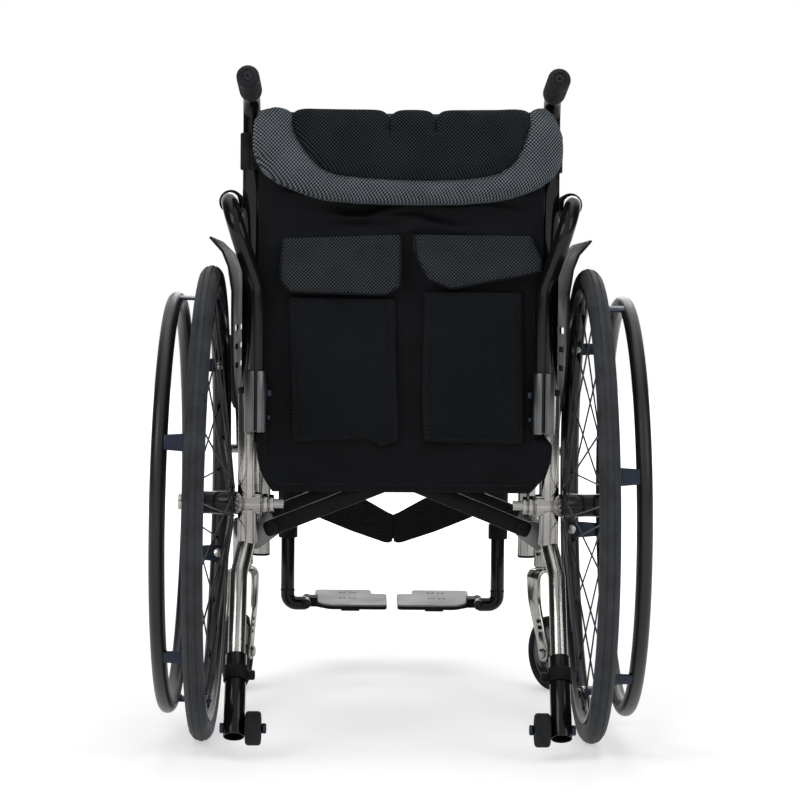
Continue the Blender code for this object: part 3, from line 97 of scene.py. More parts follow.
# Frame, in the chair's own space
STUB_KNEE, STUB_FOOT = (0.197, -0.034, 0.210), (0.196, -0.150, 0.028)
TIP_LENGTH, TIP_RADIUS, ROLLER_WIDTH, ROLLER_RADIUS = 0.106, 0.0128, 0.019, 0.0205
FRAME_X, LOWER_RAIL_RADIUS = 0.1885, 0.0108
LUG_LEVELS, SADDLE_YS = (0.2787, 0.3403), (0.075, 0.330)
POST_Y, POST_FOOT = 0.415, 0.190
LOWER_RAIL, TOP_RAIL, UPRIGHT_TOP = 0.252, 0.372, 0.440
STEM_X, STEM_Y, FORK_TOP = 0.215, 0.430, 0.170
BARREL_FOOT, BARREL_TOP = 0.173, 0.2350
CASTER_RADIUS, CASTER_TRAIL = 0.0525, 0.030
LEFT_SWIVEL, RIGHT_SWIVEL = radians(-10), radians(30)
HANGER_PIVOT_Y, HANGER_X, HANGER_Y = 0.4425, 0.154, 0.530
HANGER_TOP, HANGER_FOOT, HANGER_RADIUS, HANGER_BEND = 0.318, 0.204, 0.0122, 0.030
ELBOW_Z, HINGE_X = 0.105, 0.127
PLATE_BACK, PLATE_LENGTH, PLATE_TOP = 0.5445, 0.1388, 0.1013
PLATE_TILT = radians(2.5)
TREAD, TRAY, TRAY_FOOT = 0.0026, 0.0045, 0.0072
BRACE_X, BRACE_Z, BRACE_YS = 0.158, 0.263, (0.040, 0.280)
BAR_DEPTH, BAR_HEIGHT, BAR_GAP = 0.018, 0.020, 0.0006
SEAT_Z, SEAT_TUBE_RADIUS, CROSS_Z = 0.400889, 0.011, 0.325876
CANE_X = 0.1865
GRIP_FRONT = Vector((0.1865, -0.030, 0.806))
GRIP_RISE = radians(7)
GRIP_RADIUS, GRIP_BORE, GRIP_RIBS = 0.0140, 0.0116, 9
SOCKET_X, SOCKET_Y, SOCKET_BOTTOM, SOCKET_TOP = 0.1778, -0.02533, 0.386, 0.462
SOCKET_RADIUS, SLEEVE_GAP, ARM_X = 0.0147, 0.0006, SOCKET_X + 0.0352
ARM_TUBE_RADIUS, ARM_TOP = 0.0108, 0.672
LOCK_X, LOCK_Y, LOCK_Z = 0.2096, 0.335, 0.396
SHOE_Y, SHOE_Z = 0.312, 0.345
LEVER_EYE, LEVER_END, LEVER_THICKNESS = 0.0113, 0.0075, 0.0050
BRAKE_BAR_END, BRAKE_BAR_RADIUS = 0.2520, 0.006

# Cloths and pads
BACK_Y, BACK_BOTTOM, BACK_TOP, BACK_HALF = -0.0095, 0.311, 0.770, 0.17726
BACK_GRID, POCKET_GRID, FLAP_GRID, SEAT_GRID, CALF_GRID = (
    (96, 124), (72, 92), (64, 36), (120, 60), (60, 16))
CLOTH, FLAP_CLOTH, PANEL_CLOTH, WEB = 0.0016, 0.0022, 0.0008, 0.0022
PIPING, FINE_THREAD, CLOTH_ANGLE = 0.0013, 0.0003, 60.0
MESH_PITCH, MESH_SLANTS = 0.00314, ((43.0, 0.40), (-43.0, 0.10))
SEAT_BACK, SEAT_FRONT, HEM_INSET = 0.026, 0.399, 0.0025
POCKET_BULGE, POCKET_PHASES = 0.0165, {"left": 2.0, "right": 4.1}
BACK_FOLDS = ((0.690, 0.016, 0.0050, -0.0052), (0.676, -0.022, 0.0055, -0.0048),
              (0.662, 0.020, 0.0050, -0.0056), (0.650, -0.016, 0.0060, -0.0060),
              (0.636, 0.018, 0.0060, -0.0050), (0.360, 0.010, 0.0080, -0.0030),
              (0.340, -0.008, 0.0070, -0.0022))
RIGHT_FLARE, FLARE_TOP = 0.0135, 0.388
STRAP_BOTTOM, STRAP_TOP = 0.7105, 0.7565
CALF_GAP = 0.002
PAD_FACE, SEAM_DEPTH, PANEL_PUFF = -0.0142, 0.0075, 0.0050
PAD_DEPTH, PAD_MIDDLE, PAD_STEPS = (
    0.014, (0.007, 0.740), ((0.004, 0.008), (0.009, 0.005), (0.016, 0.002)))
SLIT_NOTCH, SIDE_NOTCH, CROWN_BOTTOM = 0.0125, 0.0065, 0.764
SLITS, SLIT_BOTTOM = (-0.0155, 0.0412), 0.7515
PAD_OUTLINE = ((-0.1829, 0.7752), (-0.1736, 0.7832), (-0.150, 0.7852), (-0.080, 0.7862), (0.0, 0.7870),
               (0.080, 0.7880), (0.150, 0.7888), (0.1706, 0.7890), (0.1828, 0.7855), (0.1936, 0.7733),
               (0.2014, 0.7547), (0.2030, 0.7333), (0.1997, 0.7160), (0.1891, 0.6998), (0.1679, 0.6849),
               (0.1357, 0.6725), (0.0955, 0.6661), (0.0418, 0.6635), (-0.0118, 0.6633),
               (-0.0789, 0.6664), (-0.1111, 0.6722), (-0.1461, 0.6854), (-0.1703, 0.6995),
               (-0.1825, 0.7160), (-0.1867, 0.7319), (-0.1862, 0.7559))
PANEL_OUTLINE = ((-0.1345, 0.7833), (-0.1349, 0.7665), (-0.1316, 0.7545), (-0.1235, 0.7400),
                 (-0.1113, 0.7241), (-0.0965, 0.7110), (-0.0791, 0.7044), (-0.0498, 0.7013),
                 (-0.0123, 0.6990), (0.0305, 0.6984), (0.0733, 0.6999), (0.1026, 0.7037),
                 (0.1213, 0.7092), (0.1359, 0.7201), (0.1465, 0.7362), (0.1524, 0.7535),
                 (0.1559, 0.7696), (0.1566, 0.7864))
# Lower edge, upper edge, and the places between them on the left and right edges, as (x, z)
POCKETS = {
    "left": (((-0.1315, 0.3740), (-0.0399, 0.3773), (-0.0200, 0.3683), (-0.0008, 0.3776)),
             ((-0.1385, 0.5520), (-0.0064, 0.5520)), (), ((-0.0033, 0.4346), (-0.0064, 0.5014))),
    "right": (((0.0307, 0.3754), (0.0691, 0.3745), (0.1436, 0.3720), (0.1555, 0.3750)),
              ((0.0300, 0.5610), (0.1514, 0.5610)), ((0.0287, 0.4349), (0.0292, 0.5265)), ()),
}
FLAPS = {
    "left": (((-0.1500, 0.5741), (-0.1379, 0.5585), (-0.0168, 0.5560), (0.0004, 0.5682)),
             ((-0.1480, 0.6259), (0.0010, 0.6320)), (), ()),
    "right": (((0.0184, 0.6030), (0.0324, 0.5759), (0.0622, 0.5645), (0.1486, 0.5808),
               (0.1733, 0.5872)),
              ((0.0150, 0.6320), (0.1628, 0.6320)), (), ((0.1750, 0.6020),)),
}


def sizes():
    return bpy.context.scene.chair_sizes


def colours():
    return bpy.context.scene.chair_colours


# Selecting, editing and applying

def pick(piece):
    """Deselect everything, then select one piece and make it active."""
    bpy.ops.object.select_all(action="DESELECT")
    piece.select_set(True)
    bpy.context.view_layer.objects.active = piece
    return piece


def edit(piece):
    pick(piece)
    bpy.ops.object.mode_set(mode="EDIT")
    bpy.ops.mesh.select_mode(type="VERT")
    bpy.ops.mesh.select_all(action="SELECT")


def leave_edit():
    bpy.ops.object.mode_set(mode="OBJECT")
    return bpy.context.active_object


def clean(piece, merge=1e-5):
    """Merge doubles, drop faces with no area and turn all faces outwards."""
    edit(piece)
    bpy.ops.mesh.remove_doubles(threshold=merge)
    bpy.ops.mesh.dissolve_degenerate(threshold=merge)
    bpy.ops.mesh.delete_loose()
    bpy.ops.mesh.select_all(action="SELECT")
    bpy.ops.mesh.normals_make_consistent(inside=False)
    return leave_edit()


def apply(piece, kind, **settings):
    step = piece.modifiers.new(kind.title(), kind)
    for key, value in settings.items():
        setattr(step, key, value)
    pick(piece)
    bpy.ops.object.modifier_apply(modifier=step.name)
    return piece


def soften(piece, width=0.0006, segments=2, angle=35.0):
    """Round every sharp edge a little, as a real piece's edges are, unless the width is 0."""
    if not width:
        return piece
    return apply(piece, "BEVEL", width=width, segments=segments, limit_method="ANGLE",
                 angle_limit=radians(angle), harden_normals=False)


def smooth(piece, angle=40.0):
    pick(piece)
    bpy.ops.object.shade_smooth_by_angle(angle=radians(angle))
    return piece


def copy(piece, matrix=Matrix.Identity(4)):
    twin = bpy.data.objects.new(piece.name, piece.data.copy())
    bpy.context.scene.collection.objects.link(twin)
    twin.data.transform(matrix)
    if matrix.determinant() < 0:
        twin.data.flip_normals()
    return twin


def join(pieces):
    bpy.ops.object.select_all(action="DESELECT")
    for piece in pieces:
        piece.select_set(True)
    bpy.context.view_layer.objects.active = pieces[0]
    if len(pieces) > 1:
        bpy.ops.object.join()
    return pieces[0]


def discard(*pieces):
    for piece in pieces:
        bpy.data.objects.remove(piece, do_unlink=True)


def cut(piece, cutters, operation="DIFFERENCE"):
    """Combine a piece with closed forms, which are used up."""
    for cutter in cutters:
        apply(piece, "BOOLEAN", operation=operation, solver="EXACT", object=cutter)
        discard(cutter)
    return piece


def turn(axis, angle):
    return Matrix.Rotation(angle, 4, axis)


def shift(x=0.0, y=0.0, z=0.0):
    return Matrix.Translation((x, y, z))


def moved(piece, matrix):
    piece.data.transform(matrix)
    return piece


def mirrored(piece):
    """Turn a piece into its mirror image on the other side."""
    moved(piece, Matrix.Scale(-1, 4, (1, 0, 0)))
    piece.data.flip_normals()
    return piece


# Shapes

def new_mesh(add, **settings):
    """Add a primitive by its operator, with nothing else selected."""
    bpy.ops.object.select_all(action="DESELECT")
    add(**settings)
    return bpy.context.active_object


def new_grid(columns, rows):
    return new_mesh(bpy.ops.mesh.primitive_grid_add, x_subdivisions=columns, y_subdivisions=rows, size=1.0)


def outline_object(points, fill="NGON"):
    """A circle whose corners are moved to the points of an outline."""
    piece = new_mesh(bpy.ops.mesh.primitive_circle_add, vertices=len(points), radius=0.01, fill_type=fill)
    for vertex, point in zip(piece.data.vertices, points):
        vertex.co = point
    return piece


def turned(profile, axis="X", steps=48, at=(0, 0, 0)):
    """Spin a closed outline of (along, radius) points round an axis."""
    piece = outline_object([(along, 0, radius) for along, radius in profile], "NOTHING")
    edit(piece)
    bpy.ops.mesh.spin(steps=steps, angle=tau, center=(0, 0, 0), axis=(1, 0, 0))
    leave_edit()
    clean(piece)
    if axis == "Y":
        moved(piece, turn("Z", pi / 2))
    if axis == "Z":
        moved(piece, turn("Y", -pi / 2))
    return moved(piece, shift(*at))


def stepped(axis, steps, segments=32, at=(0, 0, 0), edge=0.0005):
    """Coaxial cylinders end to end, such as a bolt with its head: (end, radius) steps."""
    start = steps[0]
    profile = [(start, 0.0)]
    for end, radius in steps[1:]:
        profile += [(start, radius), (end, radius)]
        start = end
    piece = turned(profile + [(start, 0.0)], axis, segments, at)
    return soften(piece, edge)


def bent(corners, radius):
    """Round the inner corners of a path with arcs of one radius."""
    corners = [Vector(corner) for corner in corners]
    path = [corners[0]]
    for before, corner, after in zip(corners, corners[1:], corners[2:]):
        back, ahead = (before - corner).normalized(), (after - corner).normalized()
        half = back.angle(ahead) / 2
        if half > 1.56:
            path.append(corner)
            continue
        reach = min(radius / tan(half), 0.48 * (before - corner).length,
                    0.48 * (after - corner).length)
        arm = reach * tan(half)
        centre = corner + (back + ahead).normalized() * (arm / sin(half))
        start, end = corner + back * reach - centre, corner + ahead * reach - centre
        swing = start.angle(end)
        for i in range(BEND_STEPS + 1):
            share = i / BEND_STEPS
            path.append(centre + (start * sin((1 - share) * swing) + end * sin(share * swing))
                        / sin(swing))
    path.append(corners[-1])
    return path


def tube(path, radius, closed=False, sides=24, edge=0.0006):
    """A round bar along a path: a poly curve with depth, made a mesh."""
    bpy.ops.object.select_all(action="DESELECT")
    bpy.ops.curve.primitive_bezier_curve_add()
    piece = bpy.context.active_object
    curve = piece.data
    curve.splines.clear()
    spline = curve.splines.new("POLY")
    spline.points.add(len(path) - 1)
    for point, place in zip(spline.points, path):
        point.co = (*place, 1.0)
    spline.use_cyclic_u = closed
    curve.dimensions = "3D"
    curve.bevel_depth = radius
    curve.bevel_resolution = sides // 4 - 1
    curve.use_fill_caps = not closed
    pick(piece)
    bpy.ops.object.convert(target="MESH")
    piece = clean(bpy.context.active_object)
    return soften(piece, 0 if closed else edge, 2, 50.0)


def block(low, high, edge=0.0008):
    centre = [(a + b) / 2 for a, b in zip(low, high)]
    size = [b - a for a, b in zip(low, high)]
    piece = new_mesh(bpy.ops.mesh.primitive_cube_add, size=1.0, location=centre, scale=size)
    bpy.ops.object.transform_apply(location=True, rotation=True, scale=True)
    return soften(piece, edge)


def plate(outline, offset, edge=0.0006):
    """Extrude a flat outline along an offset, then round its edges."""
    piece = outline_object(outline)
    edit(piece)
    bpy.ops.mesh.extrude_region_move(TRANSFORM_OT_translate={"value": offset})
    leave_edit()
    clean(piece)
    return soften(piece, edge)


def rounded(outline, radius, steps=6):
    """Round every corner of a flat closed outline of 2-D points."""
    result = []
    for i, corner in enumerate(outline):
        corner = Vector(corner)
        before, after = Vector(outline[i - 1]), Vector(outline[(i + 1) % len(outline)])
        reach = min(radius, 0.45 * (before - corner).length, 0.45 * (after - corner).length)
        start = corner + (before - corner).normalized() * reach
        end = corner + (after - corner).normalized() * reach
        for k in range(steps + 1):
            share = k / steps
            result.append(start.lerp(corner, share).lerp(corner.lerp(end, share), share))
    return result


def quarter(steps):
    """Angles of a quarter turn, without its first one."""
    return [pi / 2 * k / steps for k in range(1, steps + 1)]


def both_halves(right):
    """A closed section of (along, radius) points from its right half."""
    return right + [(-x, radius) for x, radius in reversed(right)]


def merged_copy(node):
    """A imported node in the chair's space, with its loose triangles merged and its edges rounded."""
    piece = bpy.data.objects.new(node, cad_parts[node].data.copy())
    bpy.context.scene.collection.objects.link(piece)
    pick(piece)
    bpy.ops.mesh.customdata_custom_splitnormals_clear()
    edit(piece)
    bpy.ops.mesh.remove_doubles(threshold=2e-5)
    bpy.ops.mesh.tris_convert_to_quads(face_threshold=0.02, shape_threshold=3.1)
    leave_edit()
    piece.data.materials.clear()
    moved(piece, shift(y=-AXLE_Y))
    return soften(piece)


def fit(piece, name, body, slot, node=None, finish=None, side=1, angle=40.0):
    if side < 0:
        mirrored(piece)
    moved(piece, shift(y=AXLE_Y))
    piece.name = name
    piece.data.name = name
    piece.data.materials.clear()
    piece.data.materials.append(material(finish or slot))
    smooth(piece, angle)
    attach(piece, body)
    if node:
        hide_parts(node)
    return piece


def pair(make, part, body, slot, node=True, finish=None, angle=40.0):
    """Model a piece once, and fit it on the right and its mirror image on the left."""
    right = make()
    left = copy(right)
    for piece, (name, side) in zip((left, right), SIDES.items()):
        fit(piece, f"{name}_{part}_look", f"{name}_{body}", slot,
            f"{name}_{node if isinstance(node, str) else part}"
            if node else None, finish, side, angle)
    return left, right


# Finishes

def shader_base(name, colour, roughness, metallic=0.0, specular=0.5):
    item = bpy.data.materials.new(name)
    item.use_nodes = True
    tree = item.node_tree
    shader = tree.nodes["Principled BSDF"]
    shader.inputs["Base Color"].default_value = (*colour, 1.0)
    shader.inputs["Roughness"].default_value = roughness
    shader.inputs["Metallic"].default_value = metallic
    shader.inputs["Specular IOR Level"].default_value = specular
    place = tree.nodes.new("ShaderNodeTexCoord")
    return item, tree, shader, place.outputs["Object"]


def noise(tree, place, scale, detail=3.0, roughness=0.55, stretch=None):
    """Noise at a scale, stretched along an axis for brushed and drawn metal."""
    if stretch:
        mapping = tree.nodes.new("ShaderNodeMapping")
        mapping.inputs["Scale"].default_value = stretch
        tree.links.new(place, mapping.inputs["Vector"])
        place = mapping.outputs["Vector"]
    texture = tree.nodes.new("ShaderNodeTexNoise")
    texture.inputs["Scale"].default_value = scale
    texture.inputs["Detail"].default_value = detail
    texture.inputs["Roughness"].default_value = roughness
    tree.links.new(place, texture.inputs["Vector"])
    return texture.outputs["Fac"]


def spread(tree, value, low, high, start=0.3, end=0.7):
    """Map a 0 to 1 pattern to a range."""
    step = tree.nodes.new("ShaderNodeMapRange")
    for key, number in (("From Min", start), ("From Max", end), ("To Min", low), ("To Max", high)):
        step.inputs[key].default_value = number
    tree.links.new(value, step.inputs["Value"])
    return step.outputs["Result"]


def tint(tree, value, dark, light, start=0.3, end=0.7):
    """Colour ramp between two colours, driven by a pattern."""
    ramp = tree.nodes.new("ShaderNodeValToRGB")
    ramp.color_ramp.elements[0].position, ramp.color_ramp.elements[1].position = start, end
    ramp.color_ramp.elements[0].color = (*dark, 1.0)
    ramp.color_ramp.elements[1].color = (*light, 1.0)
    tree.links.new(value, ramp.inputs["Fac"])
    return ramp.outputs["Color"]


def join_values(tree, first, second, operation="ADD"):
    step = tree.nodes.new("ShaderNodeMath")
    step.operation = operation
    for socket, value in zip(step.inputs, (first, second)):
        if isinstance(value, (int, float)):
            socket.default_value = value
        else:
            tree.links.new(value, socket)
    return step.outputs["Value"]


def relief(tree, shader, height, strength, distance):
    bump = tree.nodes.new("ShaderNodeBump")
    bump.inputs["Strength"].default_value = strength
    bump.inputs["Distance"].default_value = distance
    tree.links.new(height, bump.inputs["Height"])
    tree.links.new(bump.outputs["Normal"], shader.inputs["Normal"])


def scaled(colour, factor):
    return [min(1.0, part * factor) for part in colour]


def polished_metal(name, colour, low, high, streak):
    """Plated or satin metal: its gloss wanders a little, and fine marks run along it."""
    item, tree, shader, place = shader_base(name, colour, low, 1.0)
    shader.inputs["Specular Tint"].default_value = (0.7, 0.7, 0.7, 1.0)
    cloud = noise(tree, place, 22.0)
    fine = noise(tree, place, 260.0, 2.0, 0.5, streak)
    tree.links.new(tint(tree, cloud, scaled(colour, 0.80), scaled(colour, 1.12)),
                   shader.inputs["Base Color"])
    tree.links.new(spread(tree, join_values(tree, cloud, fine, "MULTIPLY"), low, high, 0.1, 0.5),
                   shader.inputs["Roughness"])
    relief(tree, shader, fine, 0.12, 0.0003)
    return item


def gloss_paint(name, colour, low, high, coat, specular=0.16):
    """Black lacquer with a faint orange peel and a trace of handling haze."""
    item, tree, shader, place = shader_base(name, colour, low, 0.0, specular)
    shader.inputs["Coat Weight"].default_value = 0.4 * coat
    shader.inputs["Coat Roughness"].default_value = 0.08
    haze = noise(tree, place, 14.0)
    peel = noise(tree, place, 420.0, 1.0)
    tree.links.new(tint(tree, haze, scaled(colour, 0.75), scaled(colour, 1.7)),
                   shader.inputs["Base Color"])
    tree.links.new(spread(tree, haze, low, high), shader.inputs["Roughness"])
    relief(tree, shader, peel, 0.10, 0.0004)
    return item


def moulded(name, colour, low, high, grain, depth, dust=1.9, specular=0.08):
    """Moulded rubber or plastic: a fine grain with paler dust in its clouds."""
    item, tree, shader, place = shader_base(name, colour, low, 0.0, specular)
    cloud = noise(tree, place, 30.0, 4.0)
    speck = noise(tree, place, grain, 2.0)
    both = join_values(tree, cloud, spread(tree, speck, -0.12, 0.12))
    tree.links.new(tint(tree, both, scaled(colour, 0.75), scaled(colour, dust)),
                   shader.inputs["Base Color"])
    tree.links.new(spread(tree, both, low, high), shader.inputs["Roughness"])
    relief(tree, shader, speck, depth, 0.0006)
    return item


def wave(tree, place, direction, period):
    texture = tree.nodes.new("ShaderNodeTexWave")
    texture.wave_type, texture.bands_direction, texture.wave_profile = "BANDS", direction, "SIN"
    texture.inputs["Scale"].default_value = tau / 20.0 / period
    tree.links.new(place, texture.inputs["Vector"])
    return texture.outputs["Fac"]


def woven(name, colour, low, high, period, sheen, crumple, light=1.9):
    """Woven cloth: warp and weft threads, soft crumples and a little sheen, with paler cloud patches that
    are partly uneven tone and partly painted sheen.
    """
    item, tree, shader, place = shader_base(name, colour, low, 0.0, 0.07)
    shader.inputs["Sheen Weight"].default_value = sheen
    shader.inputs["Sheen Roughness"].default_value = 0.45
    threads = join_values(tree, wave(tree, place, "X", period), wave(tree, place, "Z", period),
                          "MULTIPLY")
    cloud = noise(tree, place, 16.0, 4.0, 0.6)
    # Paler cloud patches up to the light factor: partly uneven tone of the cloth, partly painted sheen of
    # its crumples.
    tree.links.new(tint(tree, cloud, scaled(colour, 0.7), scaled(colour, light)),
                   shader.inputs["Base Color"])
    tree.links.new(spread(tree, cloud, low, high), shader.inputs["Roughness"])
    height = join_values(tree, join_values(tree, threads, 0.25, "MULTIPLY"),
                         join_values(tree, noise(tree, place, 38.0, 3.0), crumple, "MULTIPLY"))
    relief(tree, shader, height, 0.45, 0.0012)
    return item


def spacer_mesh(name, colour, light, pitch):
    """Spacer mesh: two sets of slanting threads that cross and leave small dark diamonds."""
    item, tree, shader, place = shader_base(name, colour, 0.85, 0.0, 0.04)
    shader.inputs["Sheen Weight"].default_value = 0.05
    threads = []
    for slant, depth in MESH_SLANTS:
        across = tree.nodes.new("ShaderNodeVectorMath")
        across.operation = "DOT_PRODUCT"
        across.inputs[1].default_value = (cos(radians(slant)), depth,
                                          sin(radians(slant)))
        tree.links.new(place, across.inputs[0])
        threads.append(wave(tree, across.outputs["Value"], "X", pitch))
    rows = spread(tree, join_values(tree, *threads), 0.0, 1.0, 0.55, 1.60)
    cloud = noise(tree, place, 24.0, 3.0)
    mixed = join_values(tree, rows, spread(tree, cloud, 0.80, 1.10), "MULTIPLY")
    tree.links.new(tint(tree, mixed, colour, light, 0.05, 1.0), shader.inputs["Base Color"])
    relief(tree, shader, rows, 0.6, 0.0008)
    return item


def ribbed_webbing(name, colour, period):
    item, tree, shader, place = shader_base(name, colour, 0.8, 0.0, 0.04)
    shader.inputs["Sheen Weight"].default_value = 0.02
    ribs = wave(tree, place, "Z", period)
    fuzz = noise(tree, place, 300.0, 2.0)
    tree.links.new(tint(tree, join_values(tree, ribs, fuzz, "MULTIPLY"), scaled(colour, 0.6),
                        scaled(colour, 3.2), 0.1, 0.7), shader.inputs["Base Color"])
    relief(tree, shader, join_values(tree, ribs, join_values(tree, fuzz, 0.4, "MULTIPLY")),
           0.6, 0.0008)
    return item


def speckled_plastic(name, colour):
    """Footplate plastic: mid grey with darker and paler grains."""
    item, tree, shader, place = shader_base(name, colour, 0.5)
    grains = noise(tree, place, 900.0, 2.0)
    cloud = noise(tree, place, 18.0, 3.0)
    both = join_values(tree, spread(tree, grains, 0.0, 0.75), spread(tree, cloud, 0.0, 0.25))
    tree.links.new(tint(tree, both, scaled(colour, 0.72), scaled(colour, 1.35), 0.1, 0.9),
                   shader.inputs["Base Color"])
    tree.links.new(spread(tree, cloud, 0.42, 0.6), shader.inputs["Roughness"])
    relief(tree, shader, grains, 0.3, 0.0004)
    return item


def material(name):
    """The finish with this name, made the first time that it is asked for."""
    if name in bpy.data.materials and bpy.data.materials[name].get("chair_finish"):
        return bpy.data.materials[name]
    if name in bpy.data.materials:
        bpy.data.materials[name].name = "packed_" + name
    c = colours()
    recipes = {
        "chrome": (polished_metal, c.chrome, 0.12, 0.28, (1, 1, 0.08)),
        "satin_steel": (polished_metal, c.satin_steel, 0.28, 0.44, (1, 1, 0.10)),
        "tab_steel": (polished_metal, TAB_COLOUR, 0.25, 0.40, (0.1, 1, 1)),
        "black_paint": (gloss_paint, scaled(c.black_paint, 0.5), 0.10, 0.22, 0.4, 0.12),
        "satin_black": (gloss_paint, scaled(c.black_paint, 0.8), 0.30, 0.42, 0.0, 0.34),
        "tyre_rubber": (moulded, c.tyre, 0.50, 0.70, 520.0, 0.35, 1.6, 0.14),
        "matt_black": (gloss_paint, scaled(c.black_paint, 0.6), 0.34, 0.46, 0.0, 0.10),
        "rubber": (moulded, c.rubber, 0.62, 0.82, 520.0, 0.35),
        "plastic": (moulded, scaled(c.plastic, 0.5), 0.42, 0.58, 700.0, 0.18, 1.9, 0.03),
        "foam": (moulded, c.foam, 0.85, 0.98, 1400.0, 0.8, 2.6),
        "footplate": (speckled_plastic, c.footplate),
        # The nylon's last value lifts its paler cloud patches: uneven tone, and painted sheen of its
        # crumples.
        "nylon": (woven, c.nylon, 0.34, 0.50, 0.0009, 0.01, 1.8, 2.2),
        "mesh": (spacer_mesh, c.mesh_dark, c.mesh_light, MESH_PITCH),
        "flap_mesh": (spacer_mesh, c.mesh_dark, scaled(c.mesh_light, 0.30), MESH_PITCH),
        "pocket_mesh": (spacer_mesh, c.mesh_dark, scaled(c.mesh_light, 0.08), MESH_PITCH),
        "panel_mesh": (spacer_mesh, scaled(c.mesh_dark, 0.3), scaled(c.mesh_light, 0.17), MESH_PITCH),
        "webbing": (ribbed_webbing, c.webbing, 0.0026),
        "piping": (ribbed_webbing, scaled(c.webbing, 0.8), 0.0013),
        "thread": (ribbed_webbing, scaled(c.webbing, 2.6), 0.0009),
    }
    maker, *values = recipes[name]
    item = maker(name, *values)
    item["chair_finish"] = True
    return item


# Wheels: modelled round their own axle, then leant by the camber and set on the hub's place

def wheel_place(side):
    return shift(side * HALF_TRACK, 0.0, AXLE_HEIGHT) @ turn("Y", -side * CAMBER)


def fit_wheel(piece, part, name, side, slot, node=None, finish=None):
    """Put a piece of the right wheel on either wheel; the left one is its mirror image."""
    if side < 0:
        mirrored(piece)
    moved(piece, wheel_place(side))
    return fit(piece, f"{name}_{part}_look", f"{name}_rear_wheel", slot, node, finish)


def tyre_profile():
    """Round tyre section with two grooves in its tread and a raised line on each wall."""
    half = sizes().tyre_width / 2
    middle = sizes().tyre_radius - half
    points = []
    for k in range(49):
        angle = radians(-122 + 244 * k / 48)
        x, r = half * sin(angle), half * cos(angle)
        groove = max(0.0, 1 - abs(abs(x) - GROOVE_OFFSET) / GROOVE_HALF_WIDTH)
        wall = 0.0003 if 62 < abs(degrees(angle)) < 68 else 0.0
        reach = 1 + wall / half
        points.append((x * reach, middle + r * reach - GROOVE_DEPTH * min(1.0, 2.2 * groove)))
    bead = sizes().tyre_radius - TYRE_HEIGHT
    return [(-0.0085, bead)] + points + [(0.0085, bead)]


def rim_profile():
    outer = sizes().tyre_radius - TYRE_HEIGHT - CLEARANCE
    inner = outer - RIM_HEIGHT
    half = RIM_WIDTH / 2
    return [(-half, outer), (-half + 0.0012, outer - 0.0012), (half - 0.0012, outer - 0.0012),
            (half, outer),
            (half, outer - 0.0045), (half - 0.0015, outer - 0.0068), (half - 0.0045, inner + 0.0006),
            (0.003, inner),
            (-0.003, inner), (0.0045 - half, inner + 0.0006), (0.0015 - half, outer - 0.0068),
            (-half, outer - 0.0045)]


def spoke_ends(i):
    """Hub and rim ends of a spoke; spokes go by turns to the inner and the outer flange and cross."""
    at_rim = tau * (i + 0.5) / sizes().spoke_count
    lean = 1 if (i // 2) % 2 == 0 else -1
    at_hub = at_rim + lean * SPOKE_SKEW
    flange = INNER_FLANGE if i % 2 else OUTER_FLANGE
    foot = Vector((flange + lean * 0.0014, FLANGE_RADIUS * cos(at_hub),
                   FLANGE_RADIUS * sin(at_hub)))
    rim_end = sizes().tyre_radius - TYRE_HEIGHT - RIM_HEIGHT + 0.0015
    return foot, Vector((0.1 * flange, rim_end * cos(at_rim), rim_end * sin(at_rim)))


def along(foot, head, share=1.0, start=0.0):
    """Place of a unit bar that stands on Z, laid from one point towards another."""
    way = head - foot
    return (Matrix.Translation(foot + way * start) @ way.to_track_quat("Z", "X").to_matrix().to_4x4()
            @ Matrix.Diagonal((1, 1, way.length * share, 1)))


def bar(radius, sides=8, depth=1.0, top=None):
    """An upright bar from Z = 0 to its depth, tapering if a top radius is given."""
    piece = new_mesh(bpy.ops.mesh.primitive_cone_add, vertices=sides, radius1=radius,
                     radius2=radius if top is None else top, depth=depth, location=(0, 0, depth / 2))
    bpy.ops.object.transform_apply(location=True)
    return piece


def laced_spokes(name, side):
    wire, nipple = bar(SPOKE_RADIUS), bar(0.0024, 8, 0.014, 0.0017)
    wires, nipples = [], []
    for i in range(sizes().spoke_count):
        foot, head = spoke_ends(i)
        wires.append(copy(wire, along(foot, head)))
        lie = (foot - head).to_track_quat("Z", "X").to_matrix().to_4x4()
        nipples.append(copy(nipple, Matrix.Translation(head) @ lie))
    discard(wire, nipple)
    fit_wheel(join(wires), "spokes", name, side, "black_paint", None, "satin_black")
    fit_wheel(join(nipples), "nipples", name, side, "satin_steel", None, "tab_steel")


